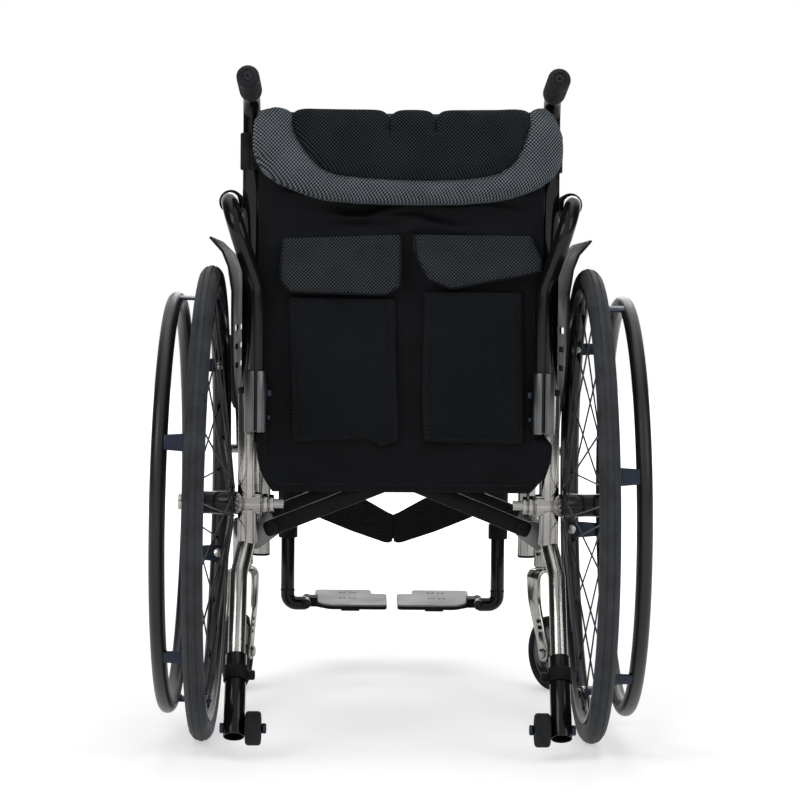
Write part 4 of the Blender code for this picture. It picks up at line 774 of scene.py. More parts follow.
def hand_ring(name, side):
    """Hand ring on bent tabs, each held to the rim's inner face by a domed bolt."""
    ring = sizes().ring_radius - RING_TUBE
    hoop = new_mesh(bpy.ops.mesh.primitive_torus_add, major_radius=ring, minor_radius=RING_TUBE,
                    major_segments=144, minor_segments=24, rotation=(0, pi / 2, 0),
                    location=(RING_OFFSET, 0, 0))
    bpy.ops.object.transform_apply(location=True, rotation=True)
    seat = sizes().tyre_radius - TYRE_HEIGHT - RIM_HEIGHT - 0.0010
    half = TAB_WIDTH / 2
    outline = rounded([(-0.0065, -half), (0.010, -half), (RING_OFFSET - 0.004, -half * 0.8),
                       (RING_OFFSET - 0.004, half * 0.8), (0.010, half), (-0.0065, half)], 0.004, 4)
    tab = plate([(x, y, seat - TAB_THICKNESS) for x, y in outline], (0, 0, TAB_THICKNESS), 0.0006)
    bolt = stepped("Z", [seat - TAB_THICKNESS - 0.0032, (seat - TAB_THICKNESS - 0.0004, 0.0046),
                         (seat - TAB_THICKNESS + 0.0004, 0.0062)], 20, edge=0.0007)
    weld = stepped("Y", [-half * 0.8, (half * 0.8, 0.0030)], 16,
                   (RING_OFFSET - 0.0075, 0, seat - 0.003))
    phase = LEFT_TABS if side < 0 else RIGHT_TABS
    tabs, bolts = [], []
    for k in range(TAB_COUNT):
        spin = turn("X", phase + tau * k / TAB_COUNT - pi / 2)
        tabs += [copy(tab, spin), copy(weld, spin)]
        bolts.append(copy(bolt, spin))
    discard(tab, bolt, weld)
    fit_wheel(hoop, "pushrim", name, side, "black_paint", name + "_pushrim", "satin_black")
    fit_wheel(join(tabs), "ring_tabs", name, side, "black_paint", None, "tab_steel")
    fit_wheel(join(bolts), "ring_bolts", name, side, "chrome", None, "chrome")


def hub_profile():
    inner, outer, bore = HUB_INNER, HUB_OUTER, HUB_BORE
    return [(inner, bore), (inner, 0.0120), (inner + 0.0008, 0.0215), (inner + 0.0040, 0.0220),
            (inner + 0.0052, 0.0170), (inner + 0.0080, 0.0150), (-0.004, 0.0142), (0.004, 0.0142),
            (outer - 0.0080, 0.0150), (outer - 0.0052, 0.0170), (outer - 0.0040, 0.0220),
            (outer - 0.0008, 0.0215),
            (outer, 0.0120), (outer, bore)]


def wheel_axle():
    """Through bolt with a hexagon head outside and two nuts on the frame's inner side."""
    end = AXLE_SLEEVE_INNER - HALF_TRACK - CLEARANCE
    pin = stepped("X", [-0.0945, (0.0313, 0.0060)], 24, edge=0.0010)
    head = stepped("X", [0.0313, (0.0330, 0.0122), (0.0373, 0.0100)], 6, edge=0.0008)
    nuts = [stepped("X", [end - 0.0162, (end - 0.0094, 0.0115)], 6, edge=0.0009),
            stepped("X", [end - 0.0085, (end - 0.0012, 0.0125)], 6, edge=0.0009),
            stepped("X", [end - 0.0012, (end - 0.0002, 0.0138)], 32, edge=0.0003)]
    return join([pin, head] + nuts)


class CHAIR_OT_rear_wheels(bpy.types.Operator):
    """Model both rear wheels: tyres, rims, laced spokes, hubs, axles and hand rings"""
    bl_idname = "chair.rear_wheels"
    bl_label = "Rear Wheels"

    def execute(self, context):
        for name, side in SIDES.items():
            fit_wheel(turned(tyre_profile(), "X", WHEEL_STEPS), "tyre", name, side, "rubber",
                      name + "_tyre",
                      "tyre_rubber")
            fit_wheel(soften(turned(rim_profile(), "X", WHEEL_STEPS), 0.0005), "rim", name, side,
                      "black_paint",
                      name + "_rim_and_spokes", "satin_black")
            laced_spokes(name, side)
            hand_ring(name, side)
            fit_wheel(turned(hub_profile(), "X", 48), "hub", name, side, "black_paint", name + "_hub")
            fit_wheel(wheel_axle(), "axle", name, side, "chrome", name + "_axle")
        return {"FINISHED"}


# Frame tubes, brackets and handles

def stub_line():
    """Foot of the rear stub and the way down along it."""
    knee, foot = Vector(STUB_KNEE), Vector(STUB_FOOT)
    return foot, (foot - knee).normalized()


def on_line(piece, start, way):
    """Stand an upright piece on a point, along a direction."""
    return moved(piece, Matrix.Translation(start) @ way.to_track_quat("Z", "X").to_matrix().to_4x4())


def frame_tubes():
    """Upright, lower rail with the rear stub, upper rail with the front post, axle sleeve and barrel."""
    foot, down = stub_line()
    stub_end = foot - down * (TIP_LENGTH - 0.030)
    radius = sizes().frame_tube_radius
    lower_path = bent([(FRAME_X, POST_Y - 0.002, LOWER_RAIL), (FRAME_X, 0.006, LOWER_RAIL),
                       STUB_KNEE, stub_end], 0.028)
    upper_path = bent([(FRAME_X, 0.002, TOP_RAIL), (FRAME_X, POST_Y, TOP_RAIL),
                       (FRAME_X, POST_Y, POST_FOOT)], 0.030)
    sleeve = stepped("X", [AXLE_SLEEVE_INNER - HALF_TRACK, (-0.0330, 0.0142)], 48)
    moved(sleeve, wheel_place(1))
    barrel = stepped("Z", [BARREL_FOOT, (BARREL_TOP, 0.0145)], 48, (STEM_X, STEM_Y, 0), 0.0008)
    weld = block((FRAME_X + 0.002, POST_Y - 0.002, POST_FOOT + 0.004),
                 (STEM_X - 0.002, STEM_Y + 0.005, 0.229), 0.002)
    return join([tube([(FRAME_X, 0, LOWER_RAIL - 0.006), (FRAME_X, 0, UPRIGHT_TOP)], radius, sides=32),
                 tube(lower_path, LOWER_RAIL_RADIUS, sides=32), tube(upper_path, radius, sides=32),
                 sleeve, barrel, weld])


def bar_offset(right_going):
    """Place of a brace's bar behind or in front of the plane where the two braces meet."""
    return -BAR_DEPTH if right_going else BAR_GAP


def frame_lugs(side):
    """Hinge lugs of the footrest hanger and the plates of the cross braces."""
    lugs = []
    for level in LUG_LEVELS:
        outline = rounded([(FRAME_X - 0.0097, POST_Y + 0.002), (FRAME_X + 0.0097, POST_Y + 0.002),
                           (FRAME_X + 0.0097, HANGER_PIVOT_Y + 0.010),
                           (FRAME_X - 0.0097, HANGER_PIVOT_Y + 0.010)],
                          0.009)
        lugs.append(plate([(a, b, level) for a, b in outline], (0, 0, 0.006), 0.0008))
    for brace_y in BRACE_YS:
        bar_y = brace_y + bar_offset(side < 0)
        outline = rounded([(BRACE_X - 0.010, BRACE_Z + 0.010), (BRACE_X - 0.010, BRACE_Z - 0.008),
                           (BRACE_X + 0.020, BRACE_Z - 0.030), (FRAME_X, BRACE_Z - 0.027),
                           (FRAME_X, BRACE_Z + 0.004)],
                          0.008)
        lugs.append(plate([(a, bar_y + BAR_DEPTH + CLEARANCE, b) for a, b in outline], (0, 0.004, 0),
                          0.0006))
    return join(lugs)


def brace_bolts(side):
    """Socket-head bolts of the brace's lower pivots, each with a nut behind its plate."""
    parts = []
    for brace_y in BRACE_YS:
        bar_y = brace_y + bar_offset(side < 0)
        far = bar_y + BAR_DEPTH + 0.0043
        parts.append(socket_bolt(bar_y - 0.0003, 0.0078, BRACE_X, BRACE_Z))
        parts.append(stepped("Y", [far, (far + 0.0042, 0.0072)], 6, (BRACE_X, 0, BRACE_Z)))
    return join(parts)


def socket_bolt(face_y, radius, x, z, height=0.0045):
    """Round bolt head that faces back, with a hexagon socket pressed into it."""
    head = stepped("Y", [face_y - height, (face_y, radius)], 32, edge=0.0007)
    socket = stepped("Y", [face_y - height - 0.001, (face_y - height + 0.0025, 0.42 * radius)], 6,
                     edge=0)
    return moved(cut(head, [socket]), shift(x, 0, z))


def rail_saddles():
    """Black rests that carry the seat tube on the top rail, and the plugs of the open tube ends."""
    rests = [block((FRAME_X - 0.0087, y - 0.012, TOP_RAIL + 0.0063),
                   (FRAME_X + 0.0087, y + 0.012, SEAT_Z - 0.0113), 0.002)
             for y in SADDLE_YS]
    rests.append(stepped("Z", [POST_FOOT - 0.003, (POST_FOOT + 0.001, 0.0125)], 32,
                         (FRAME_X, POST_Y, 0), 0.0014))
    rests.append(stepped("Z", [BARREL_TOP, (0.2390, 0.0128)], 32, (STEM_X, STEM_Y, 0), 0.0016))
    rests.append(stepped("Z", [UPRIGHT_TOP - 0.0075, (UPRIGHT_TOP + 0.0002, 0.0130)], 32,
                         (FRAME_X, 0, 0), 0.0012))
    return join(rests)


class CHAIR_OT_side_frames(bpy.types.Operator):
    """Model the chrome side frames with their lugs, bolts and black rests"""
    bl_idname = "chair.side_frames"
    bl_label = "Side Frames"

    def execute(self, context):
        pair(frame_tubes, "side_frame", "frame", "chrome")
        pair(rail_saddles, "rests", "frame", "plastic", None)
        for name, side in SIDES.items():
            fit(frame_lugs(side), name + "_lugs_look", name + "_frame", "satin_steel", None,
                "satin_steel", side)
            fit(brace_bolts(side), name + "_brace_bolts_look", name + "_frame", "satin_steel", None,
                "matt_black", side)
        return {"FINISHED"}


def cross_brace(right_going):
    """Two bars on one seat tube, with a socket-head bolt through each crossing."""
    offset = bar_offset(right_going)
    start, end = Vector((-BRACE_X, 0, BRACE_Z)), Vector((FRAME_X, 0, SEAT_Z))
    way = (end - start).normalized()
    across = Vector((-way.z, 0, way.x)) * (BAR_HEIGHT / 2)
    corners = [start - way * 0.011 - across, end - across, end + across, start - way * 0.011 + across]
    outline = rounded([(p.x, p.z) for p in corners], 0.007)
    parts = [plate([(a, y + offset, b) for a, b in outline], (0, BAR_DEPTH, 0), 0.0016)
             for y in BRACE_YS]
    parts.append(tube([(FRAME_X, 0.020, SEAT_Z), (FRAME_X, 0.405, SEAT_Z)], SEAT_TUBE_RADIUS, sides=32))
    brace = join(parts)
    return brace if right_going else mirrored(brace)


def crossing_bolts():
    parts = []
    for y in BRACE_YS:
        parts.append(socket_bolt(y - BAR_DEPTH, 0.0085, 0.0, CROSS_Z, 0.0030))
        far = y + BAR_GAP + BAR_DEPTH + CLEARANCE
        parts.append(stepped("Y", [far, (far + 0.0038, 0.0085)], 6, (0, 0, CROSS_Z)))
    return join(parts)


class CHAIR_OT_cross_braces(bpy.types.Operator):
    """Model the folding cross braces with their seat tubes and bolts"""
    bl_idname = "chair.cross_braces"
    bl_label = "Cross Braces"

    def execute(self, context):
        fit(cross_brace(True), "left_brace_look", "left_brace", "black_paint", "left_cross_brace",
            "matt_black")
        fit(cross_brace(False), "right_brace_look", "right_brace", "black_paint",
            "right_cross_brace", "matt_black")
        fit(crossing_bolts(), "crossing_bolts_look", "left_brace", "satin_steel", None, "matt_black")
        return {"FINISHED"}


def back_cane():
    rise = GRIP_FRONT.y * tan(GRIP_RISE)
    handle_end = GRIP_FRONT + grip_way() * (sizes().grip_length - 0.014)
    return tube(bent([(CANE_X, 0, UPRIGHT_TOP + CLEARANCE), (CANE_X, 0, GRIP_FRONT.z + rise),
                      handle_end], 0.030),
                sizes().cane_radius, sides=32)


def grip_way():
    return Vector((0, -cos(GRIP_RISE), sin(GRIP_RISE)))


def push_grip():
    """Rubber grip: a plain collar, a row of finger ribs, and a domed end with a ring and a hole."""
    length, radius = sizes().grip_length, GRIP_RADIUS
    profile = [(0.0, GRIP_BORE), (0.0, radius - 0.0016), (0.0012, radius - 0.0004), (0.006, radius)]
    pitch = (length - 0.026) / GRIP_RIBS
    for i in range(GRIP_RIBS):
        start = 0.009 + i * pitch
        profile += [(start, radius), (start + 0.10 * pitch, radius - 0.0010),
                    (start + 0.30 * pitch, radius - 0.0014),
                    (start + 0.50 * pitch, radius - 0.0010), (start + 0.60 * pitch, radius)]
    for angle in quarter(8):
        profile.append((length - 0.009 + 0.009 * sin(angle),
                        radius - 0.008 + 0.008 * cos(angle)))
    profile += [(length, 0.0092), (length - 0.0009, 0.0088), (length - 0.0009, 0.0082),
                (length, 0.0078),
                (length, 0.0014), (length - 0.004, 0.0012), (length - 0.004, 0.0),
                (length - 0.012, 0.0),
                (length - 0.012, GRIP_BORE)]
    grip = turned(profile, "Y", 48)
    return moved(grip, Matrix.Translation(GRIP_FRONT) @ turn("X", -GRIP_RISE) @ turn("Z", pi))


class CHAIR_OT_push_handles(bpy.types.Operator):
    """Model the black canes and their ribbed push grips"""
    bl_idname = "chair.push_handles"
    bl_label = "Push Handles"

    def execute(self, context):
        pair(back_cane, "back_cane", "frame", "black_paint")
        pair(push_grip, "push_grip", "frame", "rubber")
        return {"FINISHED"}


def armrest_socket():
    """Silver sleeve behind the upright with its slot to the back."""
    height = SOCKET_TOP - SOCKET_BOTTOM
    bore = ARM_TUBE_RADIUS + SLEEVE_GAP
    ring = turned([(0, bore), (0, SOCKET_RADIUS), (height, SOCKET_RADIUS), (height, bore)], "Z", 48)
    slot = block((-0.002, -0.03, -0.01), (0.002, 0, height + 0.01), 0)
    return moved(soften(cut(ring, [slot]), 0.0006), shift(SOCKET_X, SOCKET_Y, SOCKET_BOTTOM))


def socket_screws():
    """Screw on the inner side and the tightening screw's ears across the slot."""
    inner = SOCKET_X - SOCKET_RADIUS
    screw = stepped("X", [inner - 0.0042, (inner - 0.0012, 0.0052), (inner + 0.0012, 0.0060)], 24,
                    (0, SOCKET_Y + 0.004, UPRIGHT_TOP - 0.006), 0.0009)
    low = stepped("X", [inner - 0.0030, (inner + 0.0012, 0.0048)], 6,
                  (0, SOCKET_Y + 0.004, SOCKET_BOTTOM + 0.018), 0.0006)
    return join([screw, low])


def armrest_tube():
    x = ARM_X
    corners = [(SOCKET_X, SOCKET_Y, SOCKET_BOTTOM + 0.002), (SOCKET_X, SOCKET_Y, ARM_TOP - 0.110),
               (x, -0.052, ARM_TOP),
               (x, 0.288, ARM_TOP), (x - 0.006, 0.322, ARM_TOP - 0.030)]
    return tube(bent(corners, 0.042), ARM_TUBE_RADIUS, sides=32, edge=0.002)


def armrest_pad():
    """Foam sleeve, pinched a little at its ends where the tube holds it."""
    bore, outer, back, front = ARM_TUBE_RADIUS + SLEEVE_GAP, sizes().arm_pad_radius, 0.020, 0.255
    profile = [(back, bore), (back, outer - 0.0022)]
    for angle in quarter(6):
        profile.append((back + 0.004 - 0.004 * cos(angle),
                        outer - 0.0022 + 0.0022 * sin(angle)))
    middle = (back + front) / 2
    profile += [(2 * middle - y, r) for y, r in reversed(profile)]
    return turned(profile, "Y", 64, (ARM_X, 0, ARM_TOP))


class CHAIR_OT_armrests(bpy.types.Operator):
    """Model the bent armrest tubes, their foam pads and slotted sockets"""
    bl_idname = "chair.armrests"
    bl_label = "Armrests"

    def execute(self, context):
        pair(armrest_tube, "armrest_tube", "armrest", "black_paint")
        for pad in pair(armrest_pad, "armrest_pad", "armrest", "foam"):
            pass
        pair(armrest_socket, "armrest_socket", "frame", "satin_steel")
        pair(socket_screws, "socket_screws", "frame", "satin_steel", None, "tab_steel")
        return {"FINISHED"}


class CHAIR_OT_side_guards(bpy.types.Operator):
    """Finish the moulded side guards, whose tops flare out over the tyres"""
    bl_idname = "chair.side_guards"
    bl_label = "Side Guards"

    def execute(self, context):
        for name in SIDES:
            fit(merged_copy(name + "_side_guard"), name + "_side_guard_look", name + "_frame",
                "plastic",
                name + "_side_guard")
        return {"FINISHED"}


def lock_mount():
    inner = FRAME_X + sizes().frame_tube_radius + CLEARANCE
    outline = rounded([(LOCK_Y - 0.014, TOP_RAIL - 0.012), (LOCK_Y + 0.014, TOP_RAIL - 0.012),
                       (LOCK_Y + 0.014, LOCK_Z + 0.012), (LOCK_Y - 0.014, LOCK_Z + 0.012)], 0.012)
    body = plate([(inner, a, b) for a, b in outline], (LOCK_X - CLEARANCE - inner, 0, 0), 0.0012)
    pin = stepped("X", [LOCK_X - 0.002, (LOCK_X + 0.0080, 0.004)], 24, (0, LOCK_Y, LOCK_Z), 0.0008)
    return join([body, pin])


def lock_arm():
    """Flat lever arm with a round eye on the pivot."""
    pivot, shoe = Vector((0, LOCK_Y, LOCK_Z)), Vector((0, SHOE_Y, SHOE_Z))
    way = (shoe - pivot).normalized()
    across = Vector((0, -way.z, way.y)) * 0.009
    outline = []
    for k in range(13):
        angle = pi * k / 12
        outline.append(pivot + across.normalized() * LEVER_EYE * cos(angle)
                       - way * LEVER_EYE * sin(angle))
    for k in range(9):
        angle = pi * k / 8
        outline.append(shoe - across.normalized() * LEVER_END * cos(angle)
                       + way * LEVER_END * sin(angle))
    arm = plate([(LOCK_X + 0.0002, p.y, p.z) for p in outline], (LEVER_THICKNESS, 0, 0), 0.0008)
    hole = stepped("X", [LOCK_X - 0.01, (LOCK_X + 0.01, 0.0046)], 24, pivot, 0)
    return cut(arm, [hole])


def lock_bar():
    shoe = (0, SHOE_Y, SHOE_Z)
    return stepped("X", [LOCK_X + 0.0004, (BRAKE_BAR_END, BRAKE_BAR_RADIUS)], 32, shoe, 0.0010)


def lock_handle():
    return tube(bent([(LOCK_X + 0.0082, LOCK_Y + 0.006, LOCK_Z + 0.006),
                      (0.226, LOCK_Y + 0.010, LOCK_Z + 0.028),
                      (0.228, LOCK_Y + 0.018, LOCK_Z + 0.104)], 0.020), 0.0078, sides=24, edge=0.0030)


class CHAIR_OT_wheel_locks(bpy.types.Operator):
    """Model the wheel locks: mount, lever arm, chrome brake bar and handle"""
    bl_idname = "chair.wheel_locks"
    bl_label = "Wheel Locks"

    def execute(self, context):
        pair(lock_mount, "wheel_lock_mount", "frame", "plastic")
        pair(lock_arm, "wheel_lock_lever", "wheel_lock", "black_paint", True, "satin_black")
        pair(lock_bar, "wheel_lock_bar", "wheel_lock", "chrome", None)
        pair(lock_handle, "wheel_lock_handle", "wheel_lock", "rubber", None)
        return {"FINISHED"}


def tip_tube():
    """Open lacquered tube over the frame's stub."""
    foot, down = stub_line()
    ring = turned([(0, TIP_RADIUS - 0.0013), (0, TIP_RADIUS), (TIP_LENGTH, TIP_RADIUS),
                   (TIP_LENGTH, TIP_RADIUS - 0.0013)],
                  "Z", 48)
    return on_line(soften(ring, 0.0003), foot - down * TIP_LENGTH, down)


def tip_bolt():
    """Through bolt of the roller: a domed cap inside and a nut outside."""
    foot, down = stub_line()
    centre = foot - down * 0.011
    inner = centre.x - TIP_RADIUS - ROLLER_WIDTH - 0.0009
    cap = stepped("X", [inner - 0.006, (inner - 0.0003, 0.0062), (centre.x + TIP_RADIUS, 0.003)], 24,
                  (0, centre.y, centre.z), 0.0012)
    outer = centre.x + TIP_RADIUS - 0.0006
    return join([cap, stepped("X", [outer, (outer + 0.0050, 0.0065)], 6, (0, centre.y, centre.z),
                              0.0008)])


def tip_clamp():
    foot, down = stub_line()
    head = foot - down * (TIP_LENGTH - 0.016)
    ring = turned([(0, TIP_RADIUS + 0.0006), (0, TIP_RADIUS + 0.0022), (0.018, TIP_RADIUS + 0.0022),
                   (0.018, TIP_RADIUS + 0.0006)], "Z", 48)
    ring = on_line(soften(ring, 0.0004), head, down)
    ear = block((head.x - 0.0235, head.y - 0.013, head.z - 0.0135),
                (head.x - 0.0140, head.y - 0.001, head.z - 0.0025),
                0.0020)
    return join([ring, ear])


def tip_roller():
    foot, down = stub_line()
    centre = foot - down * 0.011
    half, r = ROLLER_WIDTH / 2, ROLLER_RADIUS
    right = [(half, 0.0036), (half, 0.0090), (half - 0.0015, 0.0098), (half - 0.0015, 0.0140),
             (half, 0.0150),
             (half, r - 0.0040)]
    right += [(half - 0.004 + 0.004 * cos(a), r - 0.004 + 0.004 * sin(a))
              for a in quarter(6)]
    return turned(both_halves(right), "X", 48,
                  (centre.x - TIP_RADIUS - 0.0006 - half, centre.y, centre.z))


class CHAIR_OT_anti_tips(bpy.types.Operator):
    """Model the anti-tip tubes, their clamps, bolts and rollers"""
    bl_idname = "chair.anti_tips"
    bl_label = "Anti-Tip Rollers"

    def execute(self, context):
        pair(tip_tube, "anti_tip_tube", "anti_tip", "black_paint")
        pair(tip_bolt, "anti_tip_bolt", "anti_tip", "satin_steel", None, "tab_steel")
        pair(tip_clamp, "anti_tip_clamp", "anti_tip", "plastic")
        pair(tip_roller, "anti_tip_roller", "anti_tip_wheel", "rubber")
        return {"FINISHED"}


# Casters, modelled round their own swivel axis

def caster_place(side):
    swivel = LEFT_SWIVEL if side < 0 else RIGHT_SWIVEL
    return shift(side * STEM_X, STEM_Y, 0) @ turn("Z", swivel)


def caster_fork():
    """Bent flat fork with tapering legs and small slots, its collar above."""
    half, wall, foot, back = 0.021, 0.005, 0.0415, -0.06
    outer = bent([(-half, back, foot), (-half, back, FORK_TOP), (half, back, FORK_TOP),
                  (half, back, foot)], 0.014)
    inner = bent([(half - wall, back, foot), (half - wall, back, FORK_TOP - wall),
                  (wall - half, back, FORK_TOP - wall),
                  (wall - half, back, foot)], 0.010)
    arch = plate(outer + inner, (0, 0.09, 0), 0)
    side = [(0.015, FORK_TOP + 0.01), (-0.015, FORK_TOP + 0.01), (-0.017, 0.120),
            (-CASTER_TRAIL - 0.012, 0.0585),
            (-CASTER_TRAIL - 0.010, foot), (-CASTER_TRAIL + 0.010, foot),
            (-CASTER_TRAIL + 0.012, 0.0605),
            (0.009, 0.125)]
    profile = plate([(-0.03, a, b) for a, b in rounded(side, 0.014)], (0.06, 0, 0), 0)
    cut(arch, [profile], "INTERSECT")
    slots = []
    for k in range(3):
        y, z = -CASTER_TRAIL + 0.005 + 0.0028 * k, 0.0785 + 0.0085 * k
        flat = rounded([(y - 0.0055, z), (y + 0.0055, z), (y + 0.0055, z + 0.0045),
                        (y - 0.0055, z + 0.0045)], 0.0022, 3)
        slots.append(plate([(-0.03, a, b) for a, b in flat], (0.06, 0, 0), 0))
    fork = soften(cut(arch, slots), 0.0007, 2, 50.0)
    stem = stepped("Z", [FORK_TOP - 0.002, (0.1727, 0.0125), (0.2290, 0.006)], 32, edge=0.0006)
    return join([fork, stem])


def caster_bolt():
    at = (0, -CASTER_TRAIL, CASTER_RADIUS)
    return join([stepped("X", [-0.0245, (-0.0210, 0.0075)], 6, at, 0.0007),
                 stepped("X", [-0.0210, (0.0210, 0.0040)], 24, at, 0),
                 stepped("X", [0.0210, (0.0250, 0.0075)], 32, at, 0.0012)])


def caster_tyre():
    """Solid tyre with round shoulders and a flat tread."""
    half, base = 0.013, CASTER_RADIUS - 0.013
    right = [(half - 0.0015, base), (half - 0.0002, base + 0.003), (half, CASTER_RADIUS - 0.0065)]
    right += [(half - 0.006 + 0.006 * cos(a), CASTER_RADIUS - 0.006 + 0.006 * sin(a))
              for a in quarter(8)]
    return turned(both_halves(right), "X", 64, (0, -CASTER_TRAIL, CASTER_RADIUS))


def caster_rim():
    """Satin disc rim: rolled edges, a thin web with round windows, and a bearing hub."""
    edge, hub = 0.0105, 0.0148
    r = CASTER_RADIUS - 0.0133
    right = [(edge, r), (edge, r - 0.0030), (edge - 0.0015, r - 0.0021), (0.0045, r - 0.0075),
             (0.0035, r - 0.0100),
             (0.0035, 0.0155), (0.0050, 0.0135), (hub - 0.002, 0.0115), (hub, 0.0105), (hub, 0.0046)]
    rim = turned(both_halves(right), "X", 64)
    windows = []
    for k in range(5):
        hole = stepped("X", [-0.02, (0.02, 0.0052)], 24, (0, 0, 0.5 * (r - 0.008 + 0.014)), 0)
        windows.append(moved(hole, turn("X", tau * (k + 0.27) / 5)))
    return moved(soften(cut(rim, windows), 0.0004, 2, 50.0), shift(0, -CASTER_TRAIL, CASTER_RADIUS))


class CHAIR_OT_casters(bpy.types.Operator):
    """Model the casters: bent forks, axle bolts, solid tyres and disc rims"""
    bl_idname = "chair.casters"
    bl_label = "Casters"

    def execute(self, context):
        makers = ((caster_fork, "caster", "chrome", True), (caster_bolt, "caster", "chrome", False),
                  (caster_tyre, "caster_wheel", "rubber", True),
                  (caster_rim, "caster_wheel", "satin_steel", True))
        for make, body, slot, stands_for in makers:
            first = make()
            for piece, (name, side) in zip((first, copy(first)), SIDES.items()):
                node = f"{name}_{make.__name__}"
                fit(moved(piece, caster_place(side)), node + "_look", f"{name}_{body}", slot,
                    node if stands_for else None)
        return {"FINISHED"}


# Footrests

def hanger():
    """Bent hanger tube with its pivot sleeve at the front post."""
    line = [(FRAME_X, HANGER_PIVOT_Y, HANGER_TOP), (HANGER_X, HANGER_Y, HANGER_TOP),
            (HANGER_X, HANGER_Y, HANGER_FOOT)]
    return join([tube(bent(line, HANGER_BEND), HANGER_RADIUS, sides=32),
                 stepped("Z", [0.2850, (0.3400, 0.0118)], 32, (FRAME_X, HANGER_PIVOT_Y, 0), 0.0008)])


def hanger_trim():
    """Clamp collar at the hanger's foot, with its screw."""
    return join([stepped("Z", [0.2020, (0.2240, 0.0140)], 40, (HANGER_X, HANGER_Y, 0), 0.0012),
                 stepped("Y", [HANGER_Y - 0.0185, (HANGER_Y - 0.0130, 0.0048)], 6,
                         (HANGER_X, 0, 0.2130),
                         0.0006)])


def foot_tube():
    """Sliding tube, its elbow and the hinge barrel of the footplate."""
    x, y, z = HANGER_X, HANGER_Y, ELBOW_Z
    body = tube(bent([(x, y, 0.243), (x, y, z), (HINGE_X, y, z)], 0.016), 0.0100, sides=32)
    groove = block((x - 0.0012, y - 0.012, z + 0.020), (x + 0.0012, y - 0.0082, 0.250), 0)
    cut(body, [groove])
    barrel = stepped("Y", [y - 0.0105, (0.5450, 0.0075), (0.5870, 0.0038)], 32, (HINGE_X, 0, z), 0.0008)
    ring = stepped("Z", [z + 0.0180, (z + 0.0215, 0.0106)], 40, (x, y, 0), 0.0010)
    return join([body, barrel, ring])


def plate_tilt():
    return shift(0, PLATE_BACK, PLATE_TOP) @ turn("X", PLATE_TILT) @ shift(0, -PLATE_BACK, -PLATE_TOP)


def plate_outline():
    front = PLATE_BACK + PLATE_LENGTH
    corners = [(0.1160, front), (0.0312, front), (0.0312, front - 0.036), (0.0078, front - 0.036),
               (0.0078, PLATE_BACK), (0.0930, PLATE_BACK), (0.1160, PLATE_BACK + 0.026)]
    return rounded(corners, 0.009)


def footplate():
    """Grey tread of the notched plate, with softened edges."""
    deck = plate([(a, b, PLATE_TOP - TREAD) for a, b in plate_outline()], (0, 0, TREAD), 0.0008)
    return moved(deck, plate_tilt())


def footplate_hinge():
    """Black tray under the tread with its studs, and the hinge ear and barrel on the elbow's pin."""
    tray = plate([(a, b, PLATE_TOP - TRAY_FOOT) for a, b in plate_outline()], (0, 0, TRAY), 0.0006)
    under = [tray, block((0.0485, PLATE_BACK + 0.001, PLATE_TOP - 0.0095),
                         (0.0755, PLATE_BACK + 0.070, PLATE_TOP - 0.007),
                         0.0008)]
    spots = [(-0.0036, -0.0034), (0.0036, -0.0034), (0.0, 0.0), (-0.0036, 0.0034), (0.0036, 0.0034)]
    for y in (PLATE_BACK + 0.060, PLATE_BACK + 0.112):
        for x in (0.0590, 0.0745):
            under += [stepped("Z", [PLATE_TOP - 0.001, (PLATE_TOP + 0.0004, 0.0012)], 10,
                              (x + a, y + b, 0), 0.0003)
                      for a, b in spots]
    under = moved(join(under), plate_tilt())
    ear = block((0.1105, 0.5465, ELBOW_Z - 0.0074), (HINGE_X - 0.002, 0.586, ELBOW_Z + 0.0060), 0.0014)
    barrel = stepped("Y", [0.5453, (0.5850, 0.0075)], 32, (HINGE_X, 0, ELBOW_Z), 0.0008)
    return join([under, ear, barrel])


class CHAIR_OT_footrests(bpy.types.Operator):
    """Model the hangers, sliding foot tubes and tilted footplates"""
    bl_idname = "chair.footrests"
    bl_label = "Footrests"

    def execute(self, context):
        pair(hanger, "hanger", "footrest", "black_paint")
        pair(hanger_trim, "hanger_trim", "footrest", "plastic", None)
        pair(foot_tube, "footrest_tube", "foot_tube", "black_paint")
        pair(footplate, "footplate", "footplate", "footplate")
        pair(footplate_hinge, "footplate_hinge", "footplate", "plastic", None)
        return {"FINISHED"}


# Soft goods

def blend_ends(first, second, share):
    return first + (second - first) * share


def follow(points, share):
    """Point at a share of the length of a line of 2-D points."""
    points = [Vector(point) for point in points]
    lengths = [(b - a).length for a, b in zip(points, points[1:])]
    left = share * sum(lengths)
    for a, b, length in zip(points, points[1:], lengths):
        if left <= length:
            return a.lerp(b, left / length)
        left -= length
    return points[-1]


def rounded_line(points, radius):
    """Round the inner corners of an open 2-D line."""
    path = bent([(x, 0, z) for x, z in points], radius)
    return [(p.x, p.z) for p in path]


def patch(low, high, left, right, columns, rows, depth):
    """A grid fitted between four edge lines of (x, z) points, its depth given by a function."""
    piece = new_grid(columns, rows)
    corners = [Vector(low[0]), Vector(low[-1]), Vector(high[0]), Vector(high[-1])]
    lows = [follow(low, k / columns) for k in range(columns + 1)]
    highs = [follow(high, k / columns) for k in range(columns + 1)]
    lefts = [follow(left, k / rows) for k in range(rows + 1)]
    rights = [follow(right, k / rows) for k in range(rows + 1)]
    for vertex in piece.data.vertices:
        u, v = vertex.co.x + 0.5, vertex.co.y + 0.5
        i, j = round(u * columns), round(v * rows)
        flat = (lows[i] * (1 - v) + highs[i] * v + lefts[j] * (1 - u) + rights[j] * u
                - corners[0] * (1 - u) * (1 - v) - corners[1] * u * (1 - v)
                - corners[2] * (1 - u) * v - corners[3] * u * v)
        vertex.co = (flat.x, depth(u, v, flat.x, flat.y), flat.y)
    return piece


